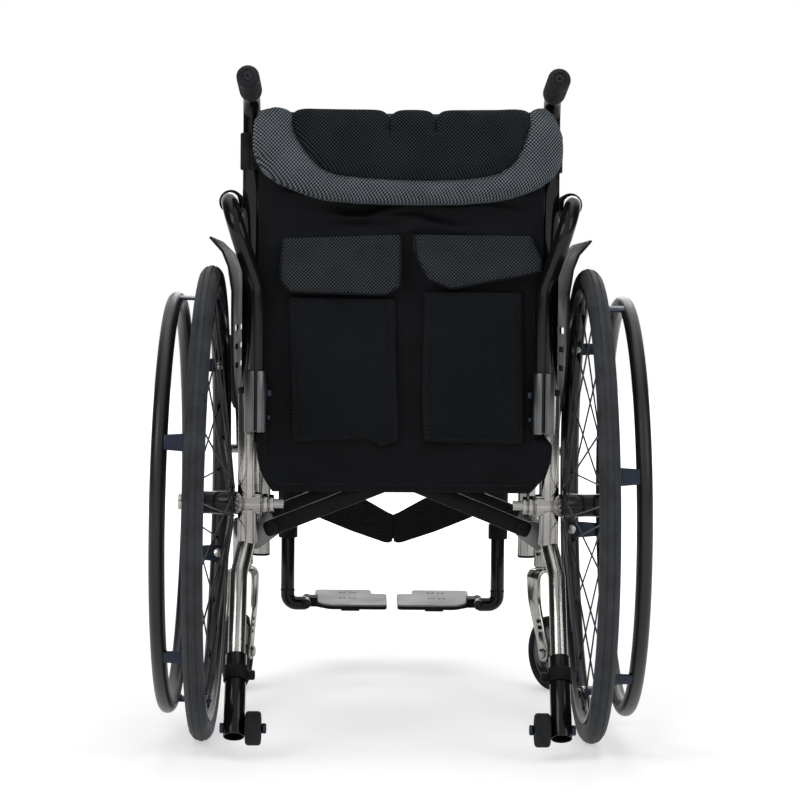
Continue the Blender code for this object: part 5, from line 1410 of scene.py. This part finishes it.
def thicken(piece, thickness, offset):
    """Give a cloth its thickness, on one side of the modelled face (offset 1 or -1) or on both (0)."""
    return apply(piece, "SOLIDIFY", thickness=thickness, offset=offset, use_even_offset=True)


def bump_wave(value, centre, width):
    """A smooth hump of height 1 round a centre."""
    reach = (value - centre) / width
    return exp(-reach * reach)


def cloth_edge(v, side=1):
    """Half width of the back cloth, drawn in at its low corners and wider where it wraps the right tube."""
    z = blend_ends(BACK_BOTTOM, BACK_TOP, v)
    drawn = max(0.0, 1 - (z - BACK_BOTTOM) / 0.055) ** 2.2
    flare = RIGHT_FLARE * ease((FLARE_TOP - z) / 0.016)
    return BACK_HALF + flare - 0.028 * drawn if side > 0 else BACK_HALF - 0.020 * drawn


def back_folds(u, v, x, z):
    """Depth of the back cloth: slanting tension folds under the pad, softer ones below, a slack belly."""
    across = 2 * u - 1
    hold = 1 - across ** 4
    depth = 0.0
    for centre, lean, width, height in BACK_FOLDS:
        line = centre + lean * across + 0.004 * sin(9 * across + 40 * centre)
        depth += (height * bump_wave(z, line, width)
                  * (0.55 + 0.45 * sin(5.0 * across + 90 * centre)))
    belly = 0.0022 * sin(pi * v) * sin(pi * u)
    pull = 0.0010 * sin(34 * z + 3 * across) * sin(11 * across + 12 * z)
    over_tube = 0.0046 * ease((x - 0.158) / 0.014) * ease((FLARE_TOP - z) / 0.016)
    return BACK_Y + hold * (depth + belly + pull) - over_tube


def back_cloth():
    low = [(blend_ends(-cloth_edge(0, -1), cloth_edge(0), k / 20), BACK_BOTTOM) for k in range(21)]
    high = [(-BACK_HALF, BACK_TOP), (BACK_HALF, BACK_TOP)]
    left, right = ([(side * cloth_edge(k / 60, side), blend_ends(BACK_BOTTOM, BACK_TOP, k / 60))
                    for k in range(61)]
                   for side in (-1, 1))
    cloth = patch(low, high, left, right, *BACK_GRID, back_folds)
    thicken(cloth, CLOTH, -1.0)
    return clean(cloth)


def seam(points, radius, depth, closed=False, sides=8):
    """Piping or a thread line along (x, z) points, at a depth given by a function or a number."""
    path = [Vector((x, depth(x, z) if callable(depth) else depth, z)) for x, z in points]
    return tube(path, radius, closed, sides, 0)


def stitches(points, depth, length=0.0028, gap=0.0016, radius=0.00035):
    """Row of short threads along an open line of (x, z) points."""
    total = sum((Vector(b) - Vector(a)).length for a, b in zip(points, points[1:]))
    thread = bar(radius, 6)
    count = int(total / (length + gap))
    threads = []
    for k in range(count):
        a, b = (follow(points, (k + part) / count) for part in (0.1, 0.1 + length / (length + gap)))
        start = Vector((a.x, depth(a.x, a.y) if callable(depth) else depth, a.y))
        end = Vector((b.x, depth(b.x, b.y) if callable(depth) else depth, b.y))
        threads.append(copy(thread, along(start, end)))
    discard(thread)
    return join(threads)


def fit_cloth(piece, name, body="left_frame", slot="nylon", node=None, finish=None):
    """Fit a fabric piece and give it a mesh of its own."""
    fit(piece, name, body, slot, node, finish, 1, CLOTH_ANGLE)
    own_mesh(piece)
    return piece


def fit_trim(piece, name, finish, body="left_frame"):
    """Fit piping, a binding or stitches as a fabric piece."""
    return fit_cloth(piece, name, body, "webbing", None, finish)


class CHAIR_OT_back_cloth(bpy.types.Operator):
    """Model the back cloth slung between the canes, its folds, hem and stitching"""
    bl_idname = "chair.back_cloth"
    bl_label = "Back Cloth"

    def execute(self, context):
        cloth = fit_cloth(back_cloth(), "back_cloth_look", node="back_upholstery")
        edges = [[(side * (cloth_edge(k / 60, side) - 0.010), blend_ends(BACK_BOTTOM, BACK_TOP, k / 60))
                  for k in range(6, 40)] for side in (-1, 1)]
        hem_line = [(-cloth_edge(0.03, -1) + 0.008, BACK_BOTTOM + 0.016),
                    (-cloth_edge(0, -1) + 0.004, BACK_BOTTOM + 0.010),
                    (cloth_edge(0) - 0.004, BACK_BOTTOM + 0.010),
                    (cloth_edge(0.03) - 0.008, BACK_BOTTOM + 0.016)]
        hem = [stitches(hem_line, back_depth)] + [stitches(edge, back_depth) for edge in edges]
        threads = fit_trim(join(hem), "back_stitches_look", "thread")
        foot = [(blend_ends(-cloth_edge(0, -1) + 0.002, cloth_edge(0) - 0.002, k / 40),
                 BACK_BOTTOM + 0.0012)
                for k in range(41)]
        binding = seam(foot, PIPING, back_depth)
        fit_trim(binding, "back_binding_look", "webbing")
        return {"FINISHED"}


def back_depth(x, z):
    """Depth of the back cloth's rear face at a place."""
    v = (z - BACK_BOTTOM) / (BACK_TOP - BACK_BOTTOM)
    u = 0.5 + x / (2 * cloth_edge(v))
    return back_folds(min(1.0, max(0.0, u)), v, x, z) - 0.0002


def choose(piece, test):
    """Enter edit mode with only the faces that pass a test selected."""
    pick(piece)
    for parts in (piece.data.vertices, piece.data.edges, piece.data.polygons):
        parts.foreach_set("select", [False] * len(parts))
    for face in piece.data.polygons:
        face.select = test(face)
    bpy.context.tool_settings.mesh_select_mode = (False, False, True)
    bpy.ops.object.mode_set(mode="EDIT")


def beside(points, distance):
    """An open line of 2-D points, moved sideways to the right of its way."""
    points = [Vector(point) for point in points]
    line = []
    for i, point in enumerate(points):
        way = (points[min(i + 1, len(points) - 1)] - points[max(i - 1, 0)]).normalized()
        line.append((point.x + way.y * distance, point.y - way.x * distance))
    return line


def nearest(point, outline):
    """Nearest place on a closed outline, and whether the point lies inside it."""
    point = Vector(point)
    crossing, best, gap = False, point, 1.0
    for a, b in zip(outline, outline[1:] + outline[:1]):
        a, b = Vector(a), Vector(b)
        way = b - a
        place = a + way * min(1.0, max(0.0, (point - a).dot(way) / way.length_squared))
        if (point - place).length < gap:
            best, gap = place, (point - place).length
        if (a.y > point.y) != (b.y > point.y) and point.x < a.x + (point.y - a.y) / (b.y - a.y) * way.x:
            crossing = not crossing
    return best, crossing


def spline(points, closed=False, steps=5):
    """A smooth line through 2-D points."""
    points = [Vector(point) for point in points]
    count = len(points)
    ends = (lambda i: points[i % count]) if closed else (lambda i: points[min(max(i, 0), count - 1)])
    line = []
    for i in range(count if closed else count - 1):
        p, q, r, t = (ends(i + k) for k in (-1, 0, 1, 2))
        for k in range(steps):
            u = k / steps
            line.append(tuple(0.5 * (2 * q + (r - p) * u + (2 * p - 5 * q + 4 * r - t) * u * u
                                     + (3 * q - p - 3 * r + t) * u ** 3)))
    return line if closed else line + [tuple(points[-1])]


def ease(share):
    share = min(1.0, max(0.0, share))
    return share * share * (3 - 2 * share)


def inflate(piece, voxel, pressure, cap):
    """Remesh a closed form and let cloth under pressure round it, no point moving beyond the cap."""
    apply(piece, "REMESH", mode="VOXEL", voxel_size=voxel)
    start = [vertex.co.copy() for vertex in piece.data.vertices]
    cloth = piece.modifiers.new("Cloth", "CLOTH")
    cloth.settings.quality = 6
    cloth.settings.mass = 0.3
    cloth.settings.tension_stiffness = cloth.settings.compression_stiffness = 12
    cloth.settings.bending_stiffness = 0.6
    cloth.settings.use_pressure = True
    cloth.settings.uniform_pressure_force = pressure
    cloth.settings.effector_weights.gravity = 0
    for number in range(1, 21):
        bpy.context.scene.frame_set(number)
    pick(piece)
    bpy.ops.object.modifier_apply(modifier=cloth.name)
    bpy.context.scene.frame_set(1)
    for vertex, old in zip(piece.data.vertices, start):
        step = vertex.co - old
        if step.length > cap:
            vertex.co = old + step * (cap / step.length)
    return apply(piece, "SUBSURF", levels=1, render_levels=1)


def face_tree(piece):
    return BVHTree.FromPolygons([vertex.co.copy() for vertex in piece.data.vertices],
                                [tuple(face.vertices) for face in piece.data.polygons])


def surface_depth(piece, lift):
    """Function that gives the depth of a piece's rear face at a place, lifted off it a little."""
    faces = face_tree(piece)

    def depth(x, z):
        point = faces.ray_cast(Vector((x, -0.3, z)), Vector((0, 1, 0)))[0]
        return (point.y if point else PAD_FACE) - lift
    return depth


def pad_body():
    """The padded band: a crowned closed form, flat on the canes and drawn in along its seams."""
    pad = plate([(x, PAD_FACE, z) for x, z in spline(PAD_OUTLINE, True, 3)], (0, -PAD_DEPTH, 0), 0)
    for thickness, depth in PAD_STEPS:
        rear = min(vertex.co.y for vertex in pad.data.vertices)
        choose(pad, lambda face: face.normal.y < -0.9 and face.center.y < rear + 0.0005)
        bpy.ops.mesh.inset(thickness=thickness, depth=depth)
        leave_edit()
    clean(pad)
    inflate(pad, 0.005, 4.0, 0.005)
    apply(pad, "SUBSURF", levels=1, render_levels=1)
    for vertex in pad.data.vertices:
        if vertex.co.y < PAD_FACE - 0.003:
            vertex.co = sewn(*vertex.co)
    return pad


def seam_distance(x, z):
    """Distance from the panel's seam, open over the pad's top, and whether a place lies inside it."""
    if z > CROWN_BOTTOM:
        sides = PANEL_OUTLINE[0][0], PANEL_OUTLINE[-1][0]
        return min(abs(x - side) for side in sides), sides[0] < x < sides[1]
    place, within = nearest((x, z), PANEL_OUTLINE)
    return (Vector((x, z)) - place).length, within


def sewn(x, y, z):
    """Draw the pad in along the panel's seam and the two slits of its tab, and puff up what lies between."""
    distance, within = seam_distance(x, z)
    slit = min(abs(x - place) for place in SLITS)
    reach = ease((z - SLIT_BOTTOM) / 0.008)
    groove = max(exp(-distance / 0.0040), reach * exp(-slit / 0.0030))
    puff = ease(distance / 0.018) * (1 - 0.6 * reach * exp(-slit / 0.006)) if within else 0.0
    rear = ease((PAD_FACE - 0.006 - y) / 0.010)
    crown = ease((z - CROWN_BOTTOM) / 0.014)
    notch = max(SIDE_NOTCH * exp(-distance / 0.006),
                SLIT_NOTCH * exp(-slit / 0.0046)) - 0.0022
    return x, y + rear * (SEAM_DEPTH * groove - PANEL_PUFF * puff), z - crown * notch


def pad_panel(pad):
    """The darker inner panel: the pad's own surface inside the seam, with a smooth border."""
    panel = copy(pad)

    def outer(face):
        return face.center.y > PAD_FACE - 0.006 or not seam_distance(face.center.x, face.center.z)[1]
    choose(panel, outer)
    bpy.ops.mesh.delete(type="FACE")
    leave_edit()
    border = spline(PANEL_OUTLINE)
    uses = {}
    for face in panel.data.polygons:
        for key in face.edge_keys:
            uses[key] = uses.get(key, 0) + 1
    for index in {i for key, count in uses.items() if count == 1 for i in key}:
        x, y, z = panel.data.vertices[index].co
        place = nearest((x, z), border)[0]
        if z < CROWN_BOTTOM + 0.006 and (Vector((x, z)) - place).length < 0.002:
            panel.data.vertices[index].co = (place.x, y, place.y)
    return thicken(panel, PANEL_CLOTH, 1.0)


def hugged(piece, line, y):
    """Pull a line of (x, z) points onto a piece's edge, at one depth."""
    faces = face_tree(piece)
    centre = Vector((PAD_MIDDLE[0], y, PAD_MIDDLE[1]))
    path = []
    for x, z in line:
        way = (centre - Vector((x, y, z))).normalized()
        hit = faces.ray_cast(Vector((x, y, z)) - way * 0.04, way)[0]
        path.append(hit or Vector((x, y, z)))
    return path


class CHAIR_OT_back_pad(bpy.types.Operator):
    """Model the padded band round the top of the back, its dark panel, slits, piping and straps"""
    bl_idname = "chair.back_pad"
    bl_label = "Back Pad"

    def execute(self, context):
        pad = pad_body()
        panel = pad_panel(pad)
        border = spline(PANEL_OUTLINE[1:-1])
        cords = [seam(border, 0.0010, surface_depth(pad, 0.0004))]
        for x in SLITS:
            line = [(x, blend_ends(SLIT_BOTTOM, 0.7785, k / 12)) for k in range(13)]
            cords.append(seam(line, 0.0008, surface_depth(panel, 0.0002)))
        cords.append(tube(hugged(pad, spline(PAD_OUTLINE, True)[45:130], PAD_FACE - 0.005), 0.0016,
                          False, 8, 0))
        threads = [stitches(beside(border, 0.0026), surface_depth(pad, 0.0001), radius=FINE_THREAD),
                   stitches([(SLITS[0], SLIT_BOTTOM), (SLITS[1], SLIT_BOTTOM)],
                            surface_depth(panel, 0.0001),
                            radius=FINE_THREAD)]
        fit_cloth(pad, "back_pad_look", slot="mesh", node="backrest_pad")
        fit_cloth(panel, "pad_panel_look", slot="mesh", finish="panel_mesh")
        fit_trim(join(cords), "pad_piping_look", "piping")
        fit_trim(join(threads), "pad_stitches_look", "thread")
        pair(cane_strap, "cane_strap", "frame", "webbing", finish="foam")
        return {"FINISHED"}


def cane_strap():
    """Hook-and-loop strap round a cane, with its free end lapped over on the outer side."""
    radius = sizes().cane_radius
    ring = turned([(STRAP_BOTTOM, radius + 0.0005), (STRAP_BOTTOM, radius + 0.0022),
                   (STRAP_TOP, radius + 0.0022),
                   (STRAP_TOP, radius + 0.0005)], "Z", 48)
    lap = turned([(STRAP_BOTTOM + 0.001, radius + 0.0018), (STRAP_BOTTOM + 0.001, radius + 0.0032),
                  (STRAP_TOP - 0.001, radius + 0.0032), (STRAP_TOP - 0.001, radius + 0.0018)], "Z", 48)
    half = block((0.002, -0.02, STRAP_BOTTOM - 0.01), (0.03, 0.016, STRAP_TOP + 0.01), 0)
    cut(lap, [half], "INTERSECT")
    return moved(join([soften(ring, 0.0004), soften(lap, 0.0003)]), shift(CANE_X, 0, 0))


def pocket_depth(bulge, phase):
    """Depth of a pocket's rear face: full in its middle, drawn to the cloth round its sides and foot."""
    def depth(u, v, x, z):
        sides = min(1.0, (1 - abs(2 * u - 1)) / 0.16)
        foot = min(1.0, v / 0.12)
        full = sqrt(1 - (1 - sides) ** 2) * sqrt(1 - (1 - foot) ** 2)
        sag = 0.72 + 0.28 * sin(pi * min(1.0, 0.25 + 0.9 * v))
        crease = (0.0014 * bump_wave(u, 0.28 + 0.2 * v, 0.05)
                  + 0.0012 * bump_wave(u, 0.74 - 0.15 * v, 0.06))
        ripple = 0.0009 * sin(23 * z + phase) * sin(3.4 * pi * u)
        return BACK_Y - 0.0022 - full * (bulge * sag + ripple - crease)
    return depth


def edge_lines(outline, radius):
    """Four edge lines of a patch, its foot rounded, and its open border from the top left round the foot."""
    foot, high, left, right = outline
    low = rounded_line(foot, radius)
    left, right = [foot[0], *left, high[0]], [foot[-1], *right, high[-1]]
    return low, list(high), left, right, left[::-1] + low[1:-1] + right


def fine_line(points, count=90):
    return [tuple(follow(points, k / count)) for k in range(count + 1)]


class CHAIR_OT_pockets(bpy.types.Operator):
    """Model the two back pockets and their flaps, with piping and stitching"""
    bl_idname = "chair.pockets"
    bl_label = "Pockets"

    def execute(self, context):
        for name in SIDES:
            self.bag(name)
            self.flap(name)
        return {"FINISHED"}

    def bag(self, name):
        low, high, left, right, border = edge_lines(POCKETS[name], 0.008)
        bag = patch(low, high, left, right, *POCKET_GRID,
                    pocket_depth(POCKET_BULGE, POCKET_PHASES[name]))
        thicken(bag, CLOTH, -1.0)
        piping = seam(rounded_line(border, 0.006), PIPING, BACK_Y - 0.0026)
        threads = stitches(fine_line(beside(rounded_line(border, 0.006), -0.0048)),
                           surface_depth(bag, 0.0002),
                           radius=FINE_THREAD)
        fit_cloth(bag, name + "_pocket_look", slot="mesh", node=name + "_pocket",
                  finish="pocket_mesh")
        fit_trim(piping, name + "_pocket_piping_look", "piping")
        fit_trim(threads, name + "_pocket_stitches_look", "thread")

    def flap(self, name):
        low, high, left, right, border = edge_lines(FLAPS[name], 0.010)
        cover = patch(low, high, left, right, *FLAP_GRID, self.flap_depth)
        thicken(cover, FLAP_CLOTH, -1.0)
        depth = surface_depth(cover, 0.0)
        piping = seam(fine_line(beside(border, -0.0012)), PIPING, depth)
        threads = stitches(fine_line(beside(border, -0.0056)), surface_depth(cover, 0.0002),
                           radius=FINE_THREAD)
        body = name + "_flap"
        fit_cloth(cover, name + "_flap_look", body, "mesh", name + "_pocket_flap", "flap_mesh")
        fit_trim(piping, name + "_flap_piping_look", "piping", body)
        fit_trim(threads, name + "_flap_stitches_look", "thread", body)

    @staticmethod
    def flap_depth(u, v, x, z):
        """Sewn to the cloth along its top, and lying over the pocket's mouth below."""
        curl = 0.0012 * sin(2.2 * pi * u + 30 * z) * (1 - v)
        return BACK_Y - 0.0034 - 0.0175 * ease((1 - v) / 0.8) - curl


def seat_path():
    """Section of the seat cover: round the outside of each seat tube and sagging between them."""
    r = SEAT_TUBE_RADIUS + 0.0002
    wrap = [radians(105 - 15 * k) for k in range(8)]
    right = [(FRAME_X + r * sin(a), SEAT_Z + r * cos(a)) for a in wrap]
    top = SEAT_Z + r
    inner = [(0.172, top - 0.0008), (0.150, top - 0.0033), (0.115, top - 0.0065), (0.075, top - 0.0090),
             (0.035, top - 0.0105), (0.0, top - 0.0110)]
    half = right + inner
    return half + [(-x, z) for x, z in half[-2::-1]]


def seat_cover():
    columns, rows = SEAT_GRID
    path = [follow(seat_path(), k / columns) for k in range(columns + 1)]
    piece = new_grid(columns, rows)
    for vertex in piece.data.vertices:
        u, v = 0.5 - vertex.co.x, vertex.co.y + 0.5
        place = path[round(u * columns)]
        across = place.x / FRAME_X
        hold = max(0.0, 1 - across ** 4)
        curl = 0.0016 * bump_wave(v, 0.0, 0.03) + 0.0016 * bump_wave(v, 1.0, 0.03)
        crease = (0.0010 * sin(26 * v + 2 * across) * sin(7 * across)
                  + 0.0008 * bump_wave(across, 0.0, 0.03))
        vertex.co = (place.x, blend_ends(SEAT_BACK, SEAT_FRONT, v), place.y + hold * (crease - curl))
    return clean(thicken(piece, CLOTH, 1.0))


class CHAIR_OT_seat(bpy.types.Operator):
    """Model the sagging seat cover with its hems"""
    bl_idname = "chair.seat"
    bl_label = "Seat Cover"

    def execute(self, context):
        path = seat_path()
        hems = []
        for y in (SEAT_BACK + HEM_INSET, SEAT_FRONT - HEM_INSET):
            line = [Vector((p.x, y, p.y + 0.0006))
                    for p in (follow(path, k / 80) for k in range(9, 72))]
            hems.append(tube(line, 0.0015, False, 8, 0))
        cover = fit_cloth(seat_cover(), "seat_look", "seat", "nylon", "seat_sling", "nylon")
        fit_trim(join(hems), "seat_hems_look", "piping", "seat")
        return {"FINISHED"}


def calf_web():
    """One half of the calf strap, a tapering web that sags a little towards the middle of the chair."""
    low = [(CALF_GAP / 2, 0.1975), (0.006, 0.1950), (0.0131, 0.1958), (0.060, 0.2120),
           (0.1103, 0.2320), (0.1400, 0.2465)]
    high = [(CALF_GAP / 2, 0.2370), (0.0084, 0.2402), (0.0431, 0.2600), (0.0750, 0.2735),
            (0.1400, 0.2905)]
    web = patch(rounded_line(low, 0.006), rounded_line(high, 0.02), [low[0], high[0]],
                [low[-1], high[-1]],
                *CALF_GRID, lambda u, v, x, z: HANGER_Y - 0.0010 - 0.004 * sin(pi * u) ** 2)
    return clean(thicken(web, WEB, 0.0))


def calf_join():
    """The strip in front of the two halves, where they meet."""
    return block((-0.009, HANGER_Y + 0.0004, 0.2010), (0.009, HANGER_Y + 0.0022, 0.2365), 0.0006)


def calf_loop():
    loop = turned([(0.2460, 0.0127), (0.2460, 0.0144), (0.2905, 0.0144), (0.2905, 0.0127)], "Z", 40,
                  (HANGER_X, HANGER_Y, 0))
    return soften(loop, 0.0004)


class CHAIR_OT_calf_strap(bpy.types.Operator):
    """Model the calf strap in two halves that meet in the middle, and its loops round the hangers"""
    bl_idname = "chair.calf_strap"
    bl_label = "Calf Strap"

    def execute(self, context):
        right = calf_web()
        halves = [right, mirrored(copy(right)), calf_join()]
        fit_cloth(join(halves), "calf_strap_look", slot="webbing", node="calf_strap")
        pair(calf_loop, "calf_loop", "footrest", "webbing", None)
        return {"FINISHED"}


# Stage

def light(name, place, target, size, power):
    data = bpy.data.lights.new(name, "AREA")
    data.shape, data.size, data.size_y, data.energy = "RECTANGLE", size[0], size[1], power
    lamp = bpy.data.objects.new(name, data)
    bpy.context.scene.collection.objects.link(lamp)
    lamp.location = place
    lamp.rotation_euler = (Vector(target) - Vector(place)).to_track_quat("-Z", "Y").to_euler()


def seen_ray(tree):
    """1 for rays from the camera and for mirrored and refracted ones, 0 for those that light things."""
    rays = tree.nodes.new("ShaderNodeLightPath")
    seen = join_values(tree, rays.outputs["Is Camera Ray"], rays.outputs["Is Glossy Ray"], "MAXIMUM")
    return join_values(tree, seen, rays.outputs["Is Transmission Ray"], "MAXIMUM")


def floor_finish():
    """Matt white that keeps the shadows, and is a little brighter where it is seen."""
    item, tree, shader, place = shader_base("floor", (0.88, 0.88, 0.88), 0.9, 0.0, 0.1)
    glow, mix = tree.nodes.new("ShaderNodeEmission"), tree.nodes.new("ShaderNodeAddShader")
    glow.inputs["Color"].default_value = (1, 1, 1, 1)
    away = tree.nodes.new("ShaderNodeVectorMath")
    away.operation = "LENGTH"
    tree.links.new(place, away.inputs[0])
    glare = spread(tree, away.outputs["Value"], FLOOR_GLOW, 1.0, 1.0, 3.0)
    tree.links.new(join_values(tree, seen_ray(tree), glare, "MULTIPLY"), glow.inputs["Strength"])
    tree.links.new(shader.outputs[0], mix.inputs[0])
    tree.links.new(glow.outputs[0], mix.inputs[1])
    tree.links.new(mix.outputs[0], tree.nodes["Material Output"].inputs["Surface"])
    return item


class CHAIR_OT_stage(bpy.types.Operator):
    """Set up the camera, the soft lamps, the pale floor and the white surroundings"""
    bl_idname = "chair.stage"
    bl_label = "Stage"

    def execute(self, context):
        self.camera(context.scene)
        floor = new_mesh(bpy.ops.mesh.primitive_plane_add, size=FLOOR_SIZE)
        floor.name = "floor"
        floor.data.materials.append(floor_finish())
        self.surroundings(context.scene)
        for name, (place, size, power) in LAMPS.items():
            light(name, place, LAMP_AIM, size, power)
        return {"FINISHED"}

    def camera(self, scene):
        lens = bpy.data.cameras.new("camera")
        lens.sensor_width, lens.lens, lens.clip_end = 36.0, CAMERA_LENS, 60.0
        camera = bpy.data.objects.new("camera", lens)
        scene.collection.objects.link(camera)
        aim = (turn("Z", -CAMERA_YAW) @ turn("X", pi / 2 - CAMERA_PITCH) @ turn("Z", CAMERA_ROLL))
        camera.matrix_world = Matrix.Translation(CAMERA_PLACE) @ aim
        scene.camera = camera

    def surroundings(self, scene):
        world = bpy.data.worlds.new("surroundings")
        scene.world = world
        world.use_nodes = True
        tree = world.node_tree
        sky = tree.nodes["Background"]
        sky.inputs["Color"].default_value = (1, 1, 1, 1)
        rays, way, parts = (tree.nodes.new("ShaderNode" + kind)
                            for kind in ("LightPath", "TexCoord", "SeparateXYZ"))
        tree.links.new(way.outputs["Generated"], parts.inputs["Vector"])
        aside = join_values(tree, parts.outputs["X"], 0.0, "ABSOLUTE")
        drift = spread(tree, noise(tree, way.outputs["Generated"], 3.0), -0.12, 0.12)
        room = spread(tree, join_values(tree, aside, drift), 1.0, DARK_SIDE, 0.42, 0.72)
        plain = spread(tree, seen_ray(tree), WORLD_LIGHT, 1.0, 0.0, 1.0)
        reflected = join_values(tree, rays.outputs["Is Glossy Ray"], room, "MULTIPLY")
        direct = join_values(tree, 1.0, rays.outputs["Is Glossy Ray"], "SUBTRACT")
        tree.links.new(join_values(tree, reflected, join_values(tree, direct, plain, "MULTIPLY")),
                       sky.inputs["Strength"])
        scene.view_settings.view_transform = "Standard"


# Settings, panel and start

def colour_of(name, description, value):
    return bpy.props.FloatVectorProperty(name=name, description=description, subtype="COLOR", size=3,
                                         min=0.0,
                                         max=1.0, default=value)


def length_of(name, description, value):
    return bpy.props.FloatProperty(name=name, description=description, subtype="DISTANCE",
                                   unit="LENGTH", min=0.0,
                                   default=value)


class ChairSizes(bpy.types.PropertyGroup):
    tyre_radius: length_of("Tyre Radius", "Outer radius of the rear tyres", 0.296)
    tyre_width: length_of("Tyre Width", "Width of the rear tyres", 0.025)
    ring_radius: length_of("Hand Ring Radius", "Outer radius of the hand rings", 0.2622)
    spoke_count: bpy.props.IntProperty(name="Spokes", description="Spokes of each rear wheel", min=8,
                                       max=72,
                                       default=36)
    frame_tube_radius: length_of("Frame Tube Radius", "Outer radius of the side frames' tubes", 0.0125)
    cane_radius: length_of("Cane Radius", "Outer radius of the back canes", 0.0108)
    grip_length: length_of("Grip Length", "Length of the push grips", 0.0905)
    arm_pad_radius: length_of("Arm Pad Radius", "Outer radius of the foam armrests", 0.015)


class ChairColours(bpy.types.PropertyGroup):
    chrome: colour_of("Chrome", "Plated frame tubes and bolts", (0.33, 0.32, 0.305))
    satin_steel: colour_of("Satin Steel", "Sockets and brackets", (0.13, 0.132, 0.135))
    black_paint: colour_of("Black Paint", "Canes, braces and rims", (0.010, 0.010, 0.011))
    rubber: colour_of("Rubber", "Grips and rollers", (0.020, 0.021, 0.023))
    tyre: colour_of("Tyre", "Rear tyres", (0.034, 0.037, 0.041))
    plastic: colour_of("Plastic", "Side guards and caps", (0.022, 0.022, 0.024))
    foam: colour_of("Foam", "Armrest covers", (0.012, 0.012, 0.013))
    footplate: colour_of("Footplate", "Foot plates", (0.155, 0.163, 0.172))
    nylon: colour_of("Nylon", "Seat and back cloth", (0.0030, 0.0034, 0.0042))
    mesh_dark: colour_of("Mesh Ground", "Holes of the spacer mesh", (0.004, 0.005, 0.007))
    mesh_light: colour_of("Mesh Threads", "Threads of the spacer mesh", (0.230, 0.262, 0.290))
    webbing: colour_of("Webbing", "Straps, bindings and threads", (0.012, 0.012, 0.013))


OPERATORS = (CHAIR_OT_rear_wheels, CHAIR_OT_side_frames, CHAIR_OT_cross_braces, CHAIR_OT_push_handles,
             CHAIR_OT_armrests, CHAIR_OT_side_guards, CHAIR_OT_wheel_locks, CHAIR_OT_anti_tips,
             CHAIR_OT_casters,
             CHAIR_OT_footrests, CHAIR_OT_back_cloth, CHAIR_OT_back_pad, CHAIR_OT_pockets,
             CHAIR_OT_seat,
             CHAIR_OT_calf_strap, CHAIR_OT_stage)


class CHAIR_PT_pieces(bpy.types.Panel):
    """Lists the chair's sizes, colours and pieces"""
    bl_idname = "CHAIR_PT_pieces"
    bl_label = "Folding Wheelchair"
    bl_space_type = "VIEW_3D"
    bl_region_type = "UI"
    bl_category = "Wheelchair"

    def draw(self, context):
        for group in (context.scene.chair_sizes, context.scene.chair_colours):
            box = self.layout.box()
            for name in group.__annotations__:
                box.prop(group, name)
        for kind in OPERATORS:
            self.layout.operator(kind.bl_idname)


CLASSES = (ChairSizes, ChairColours, *OPERATORS, CHAIR_PT_pieces)


def register():
    for kind in CLASSES:
        bpy.utils.register_class(kind)
    bpy.types.Scene.chair_sizes = bpy.props.PointerProperty(type=ChairSizes)
    bpy.types.Scene.chair_colours = bpy.props.PointerProperty(type=ChairColours)


def unregister():
    del bpy.types.Scene.chair_colours
    del bpy.types.Scene.chair_sizes
    for kind in reversed(CLASSES):
        bpy.utils.unregister_class(kind)


def main():
    register()
    for kind in OPERATORS:
        group, name = kind.bl_idname.split(".")
        getattr(getattr(bpy.ops, group), name)()


if __name__ == "__main__":
    main()
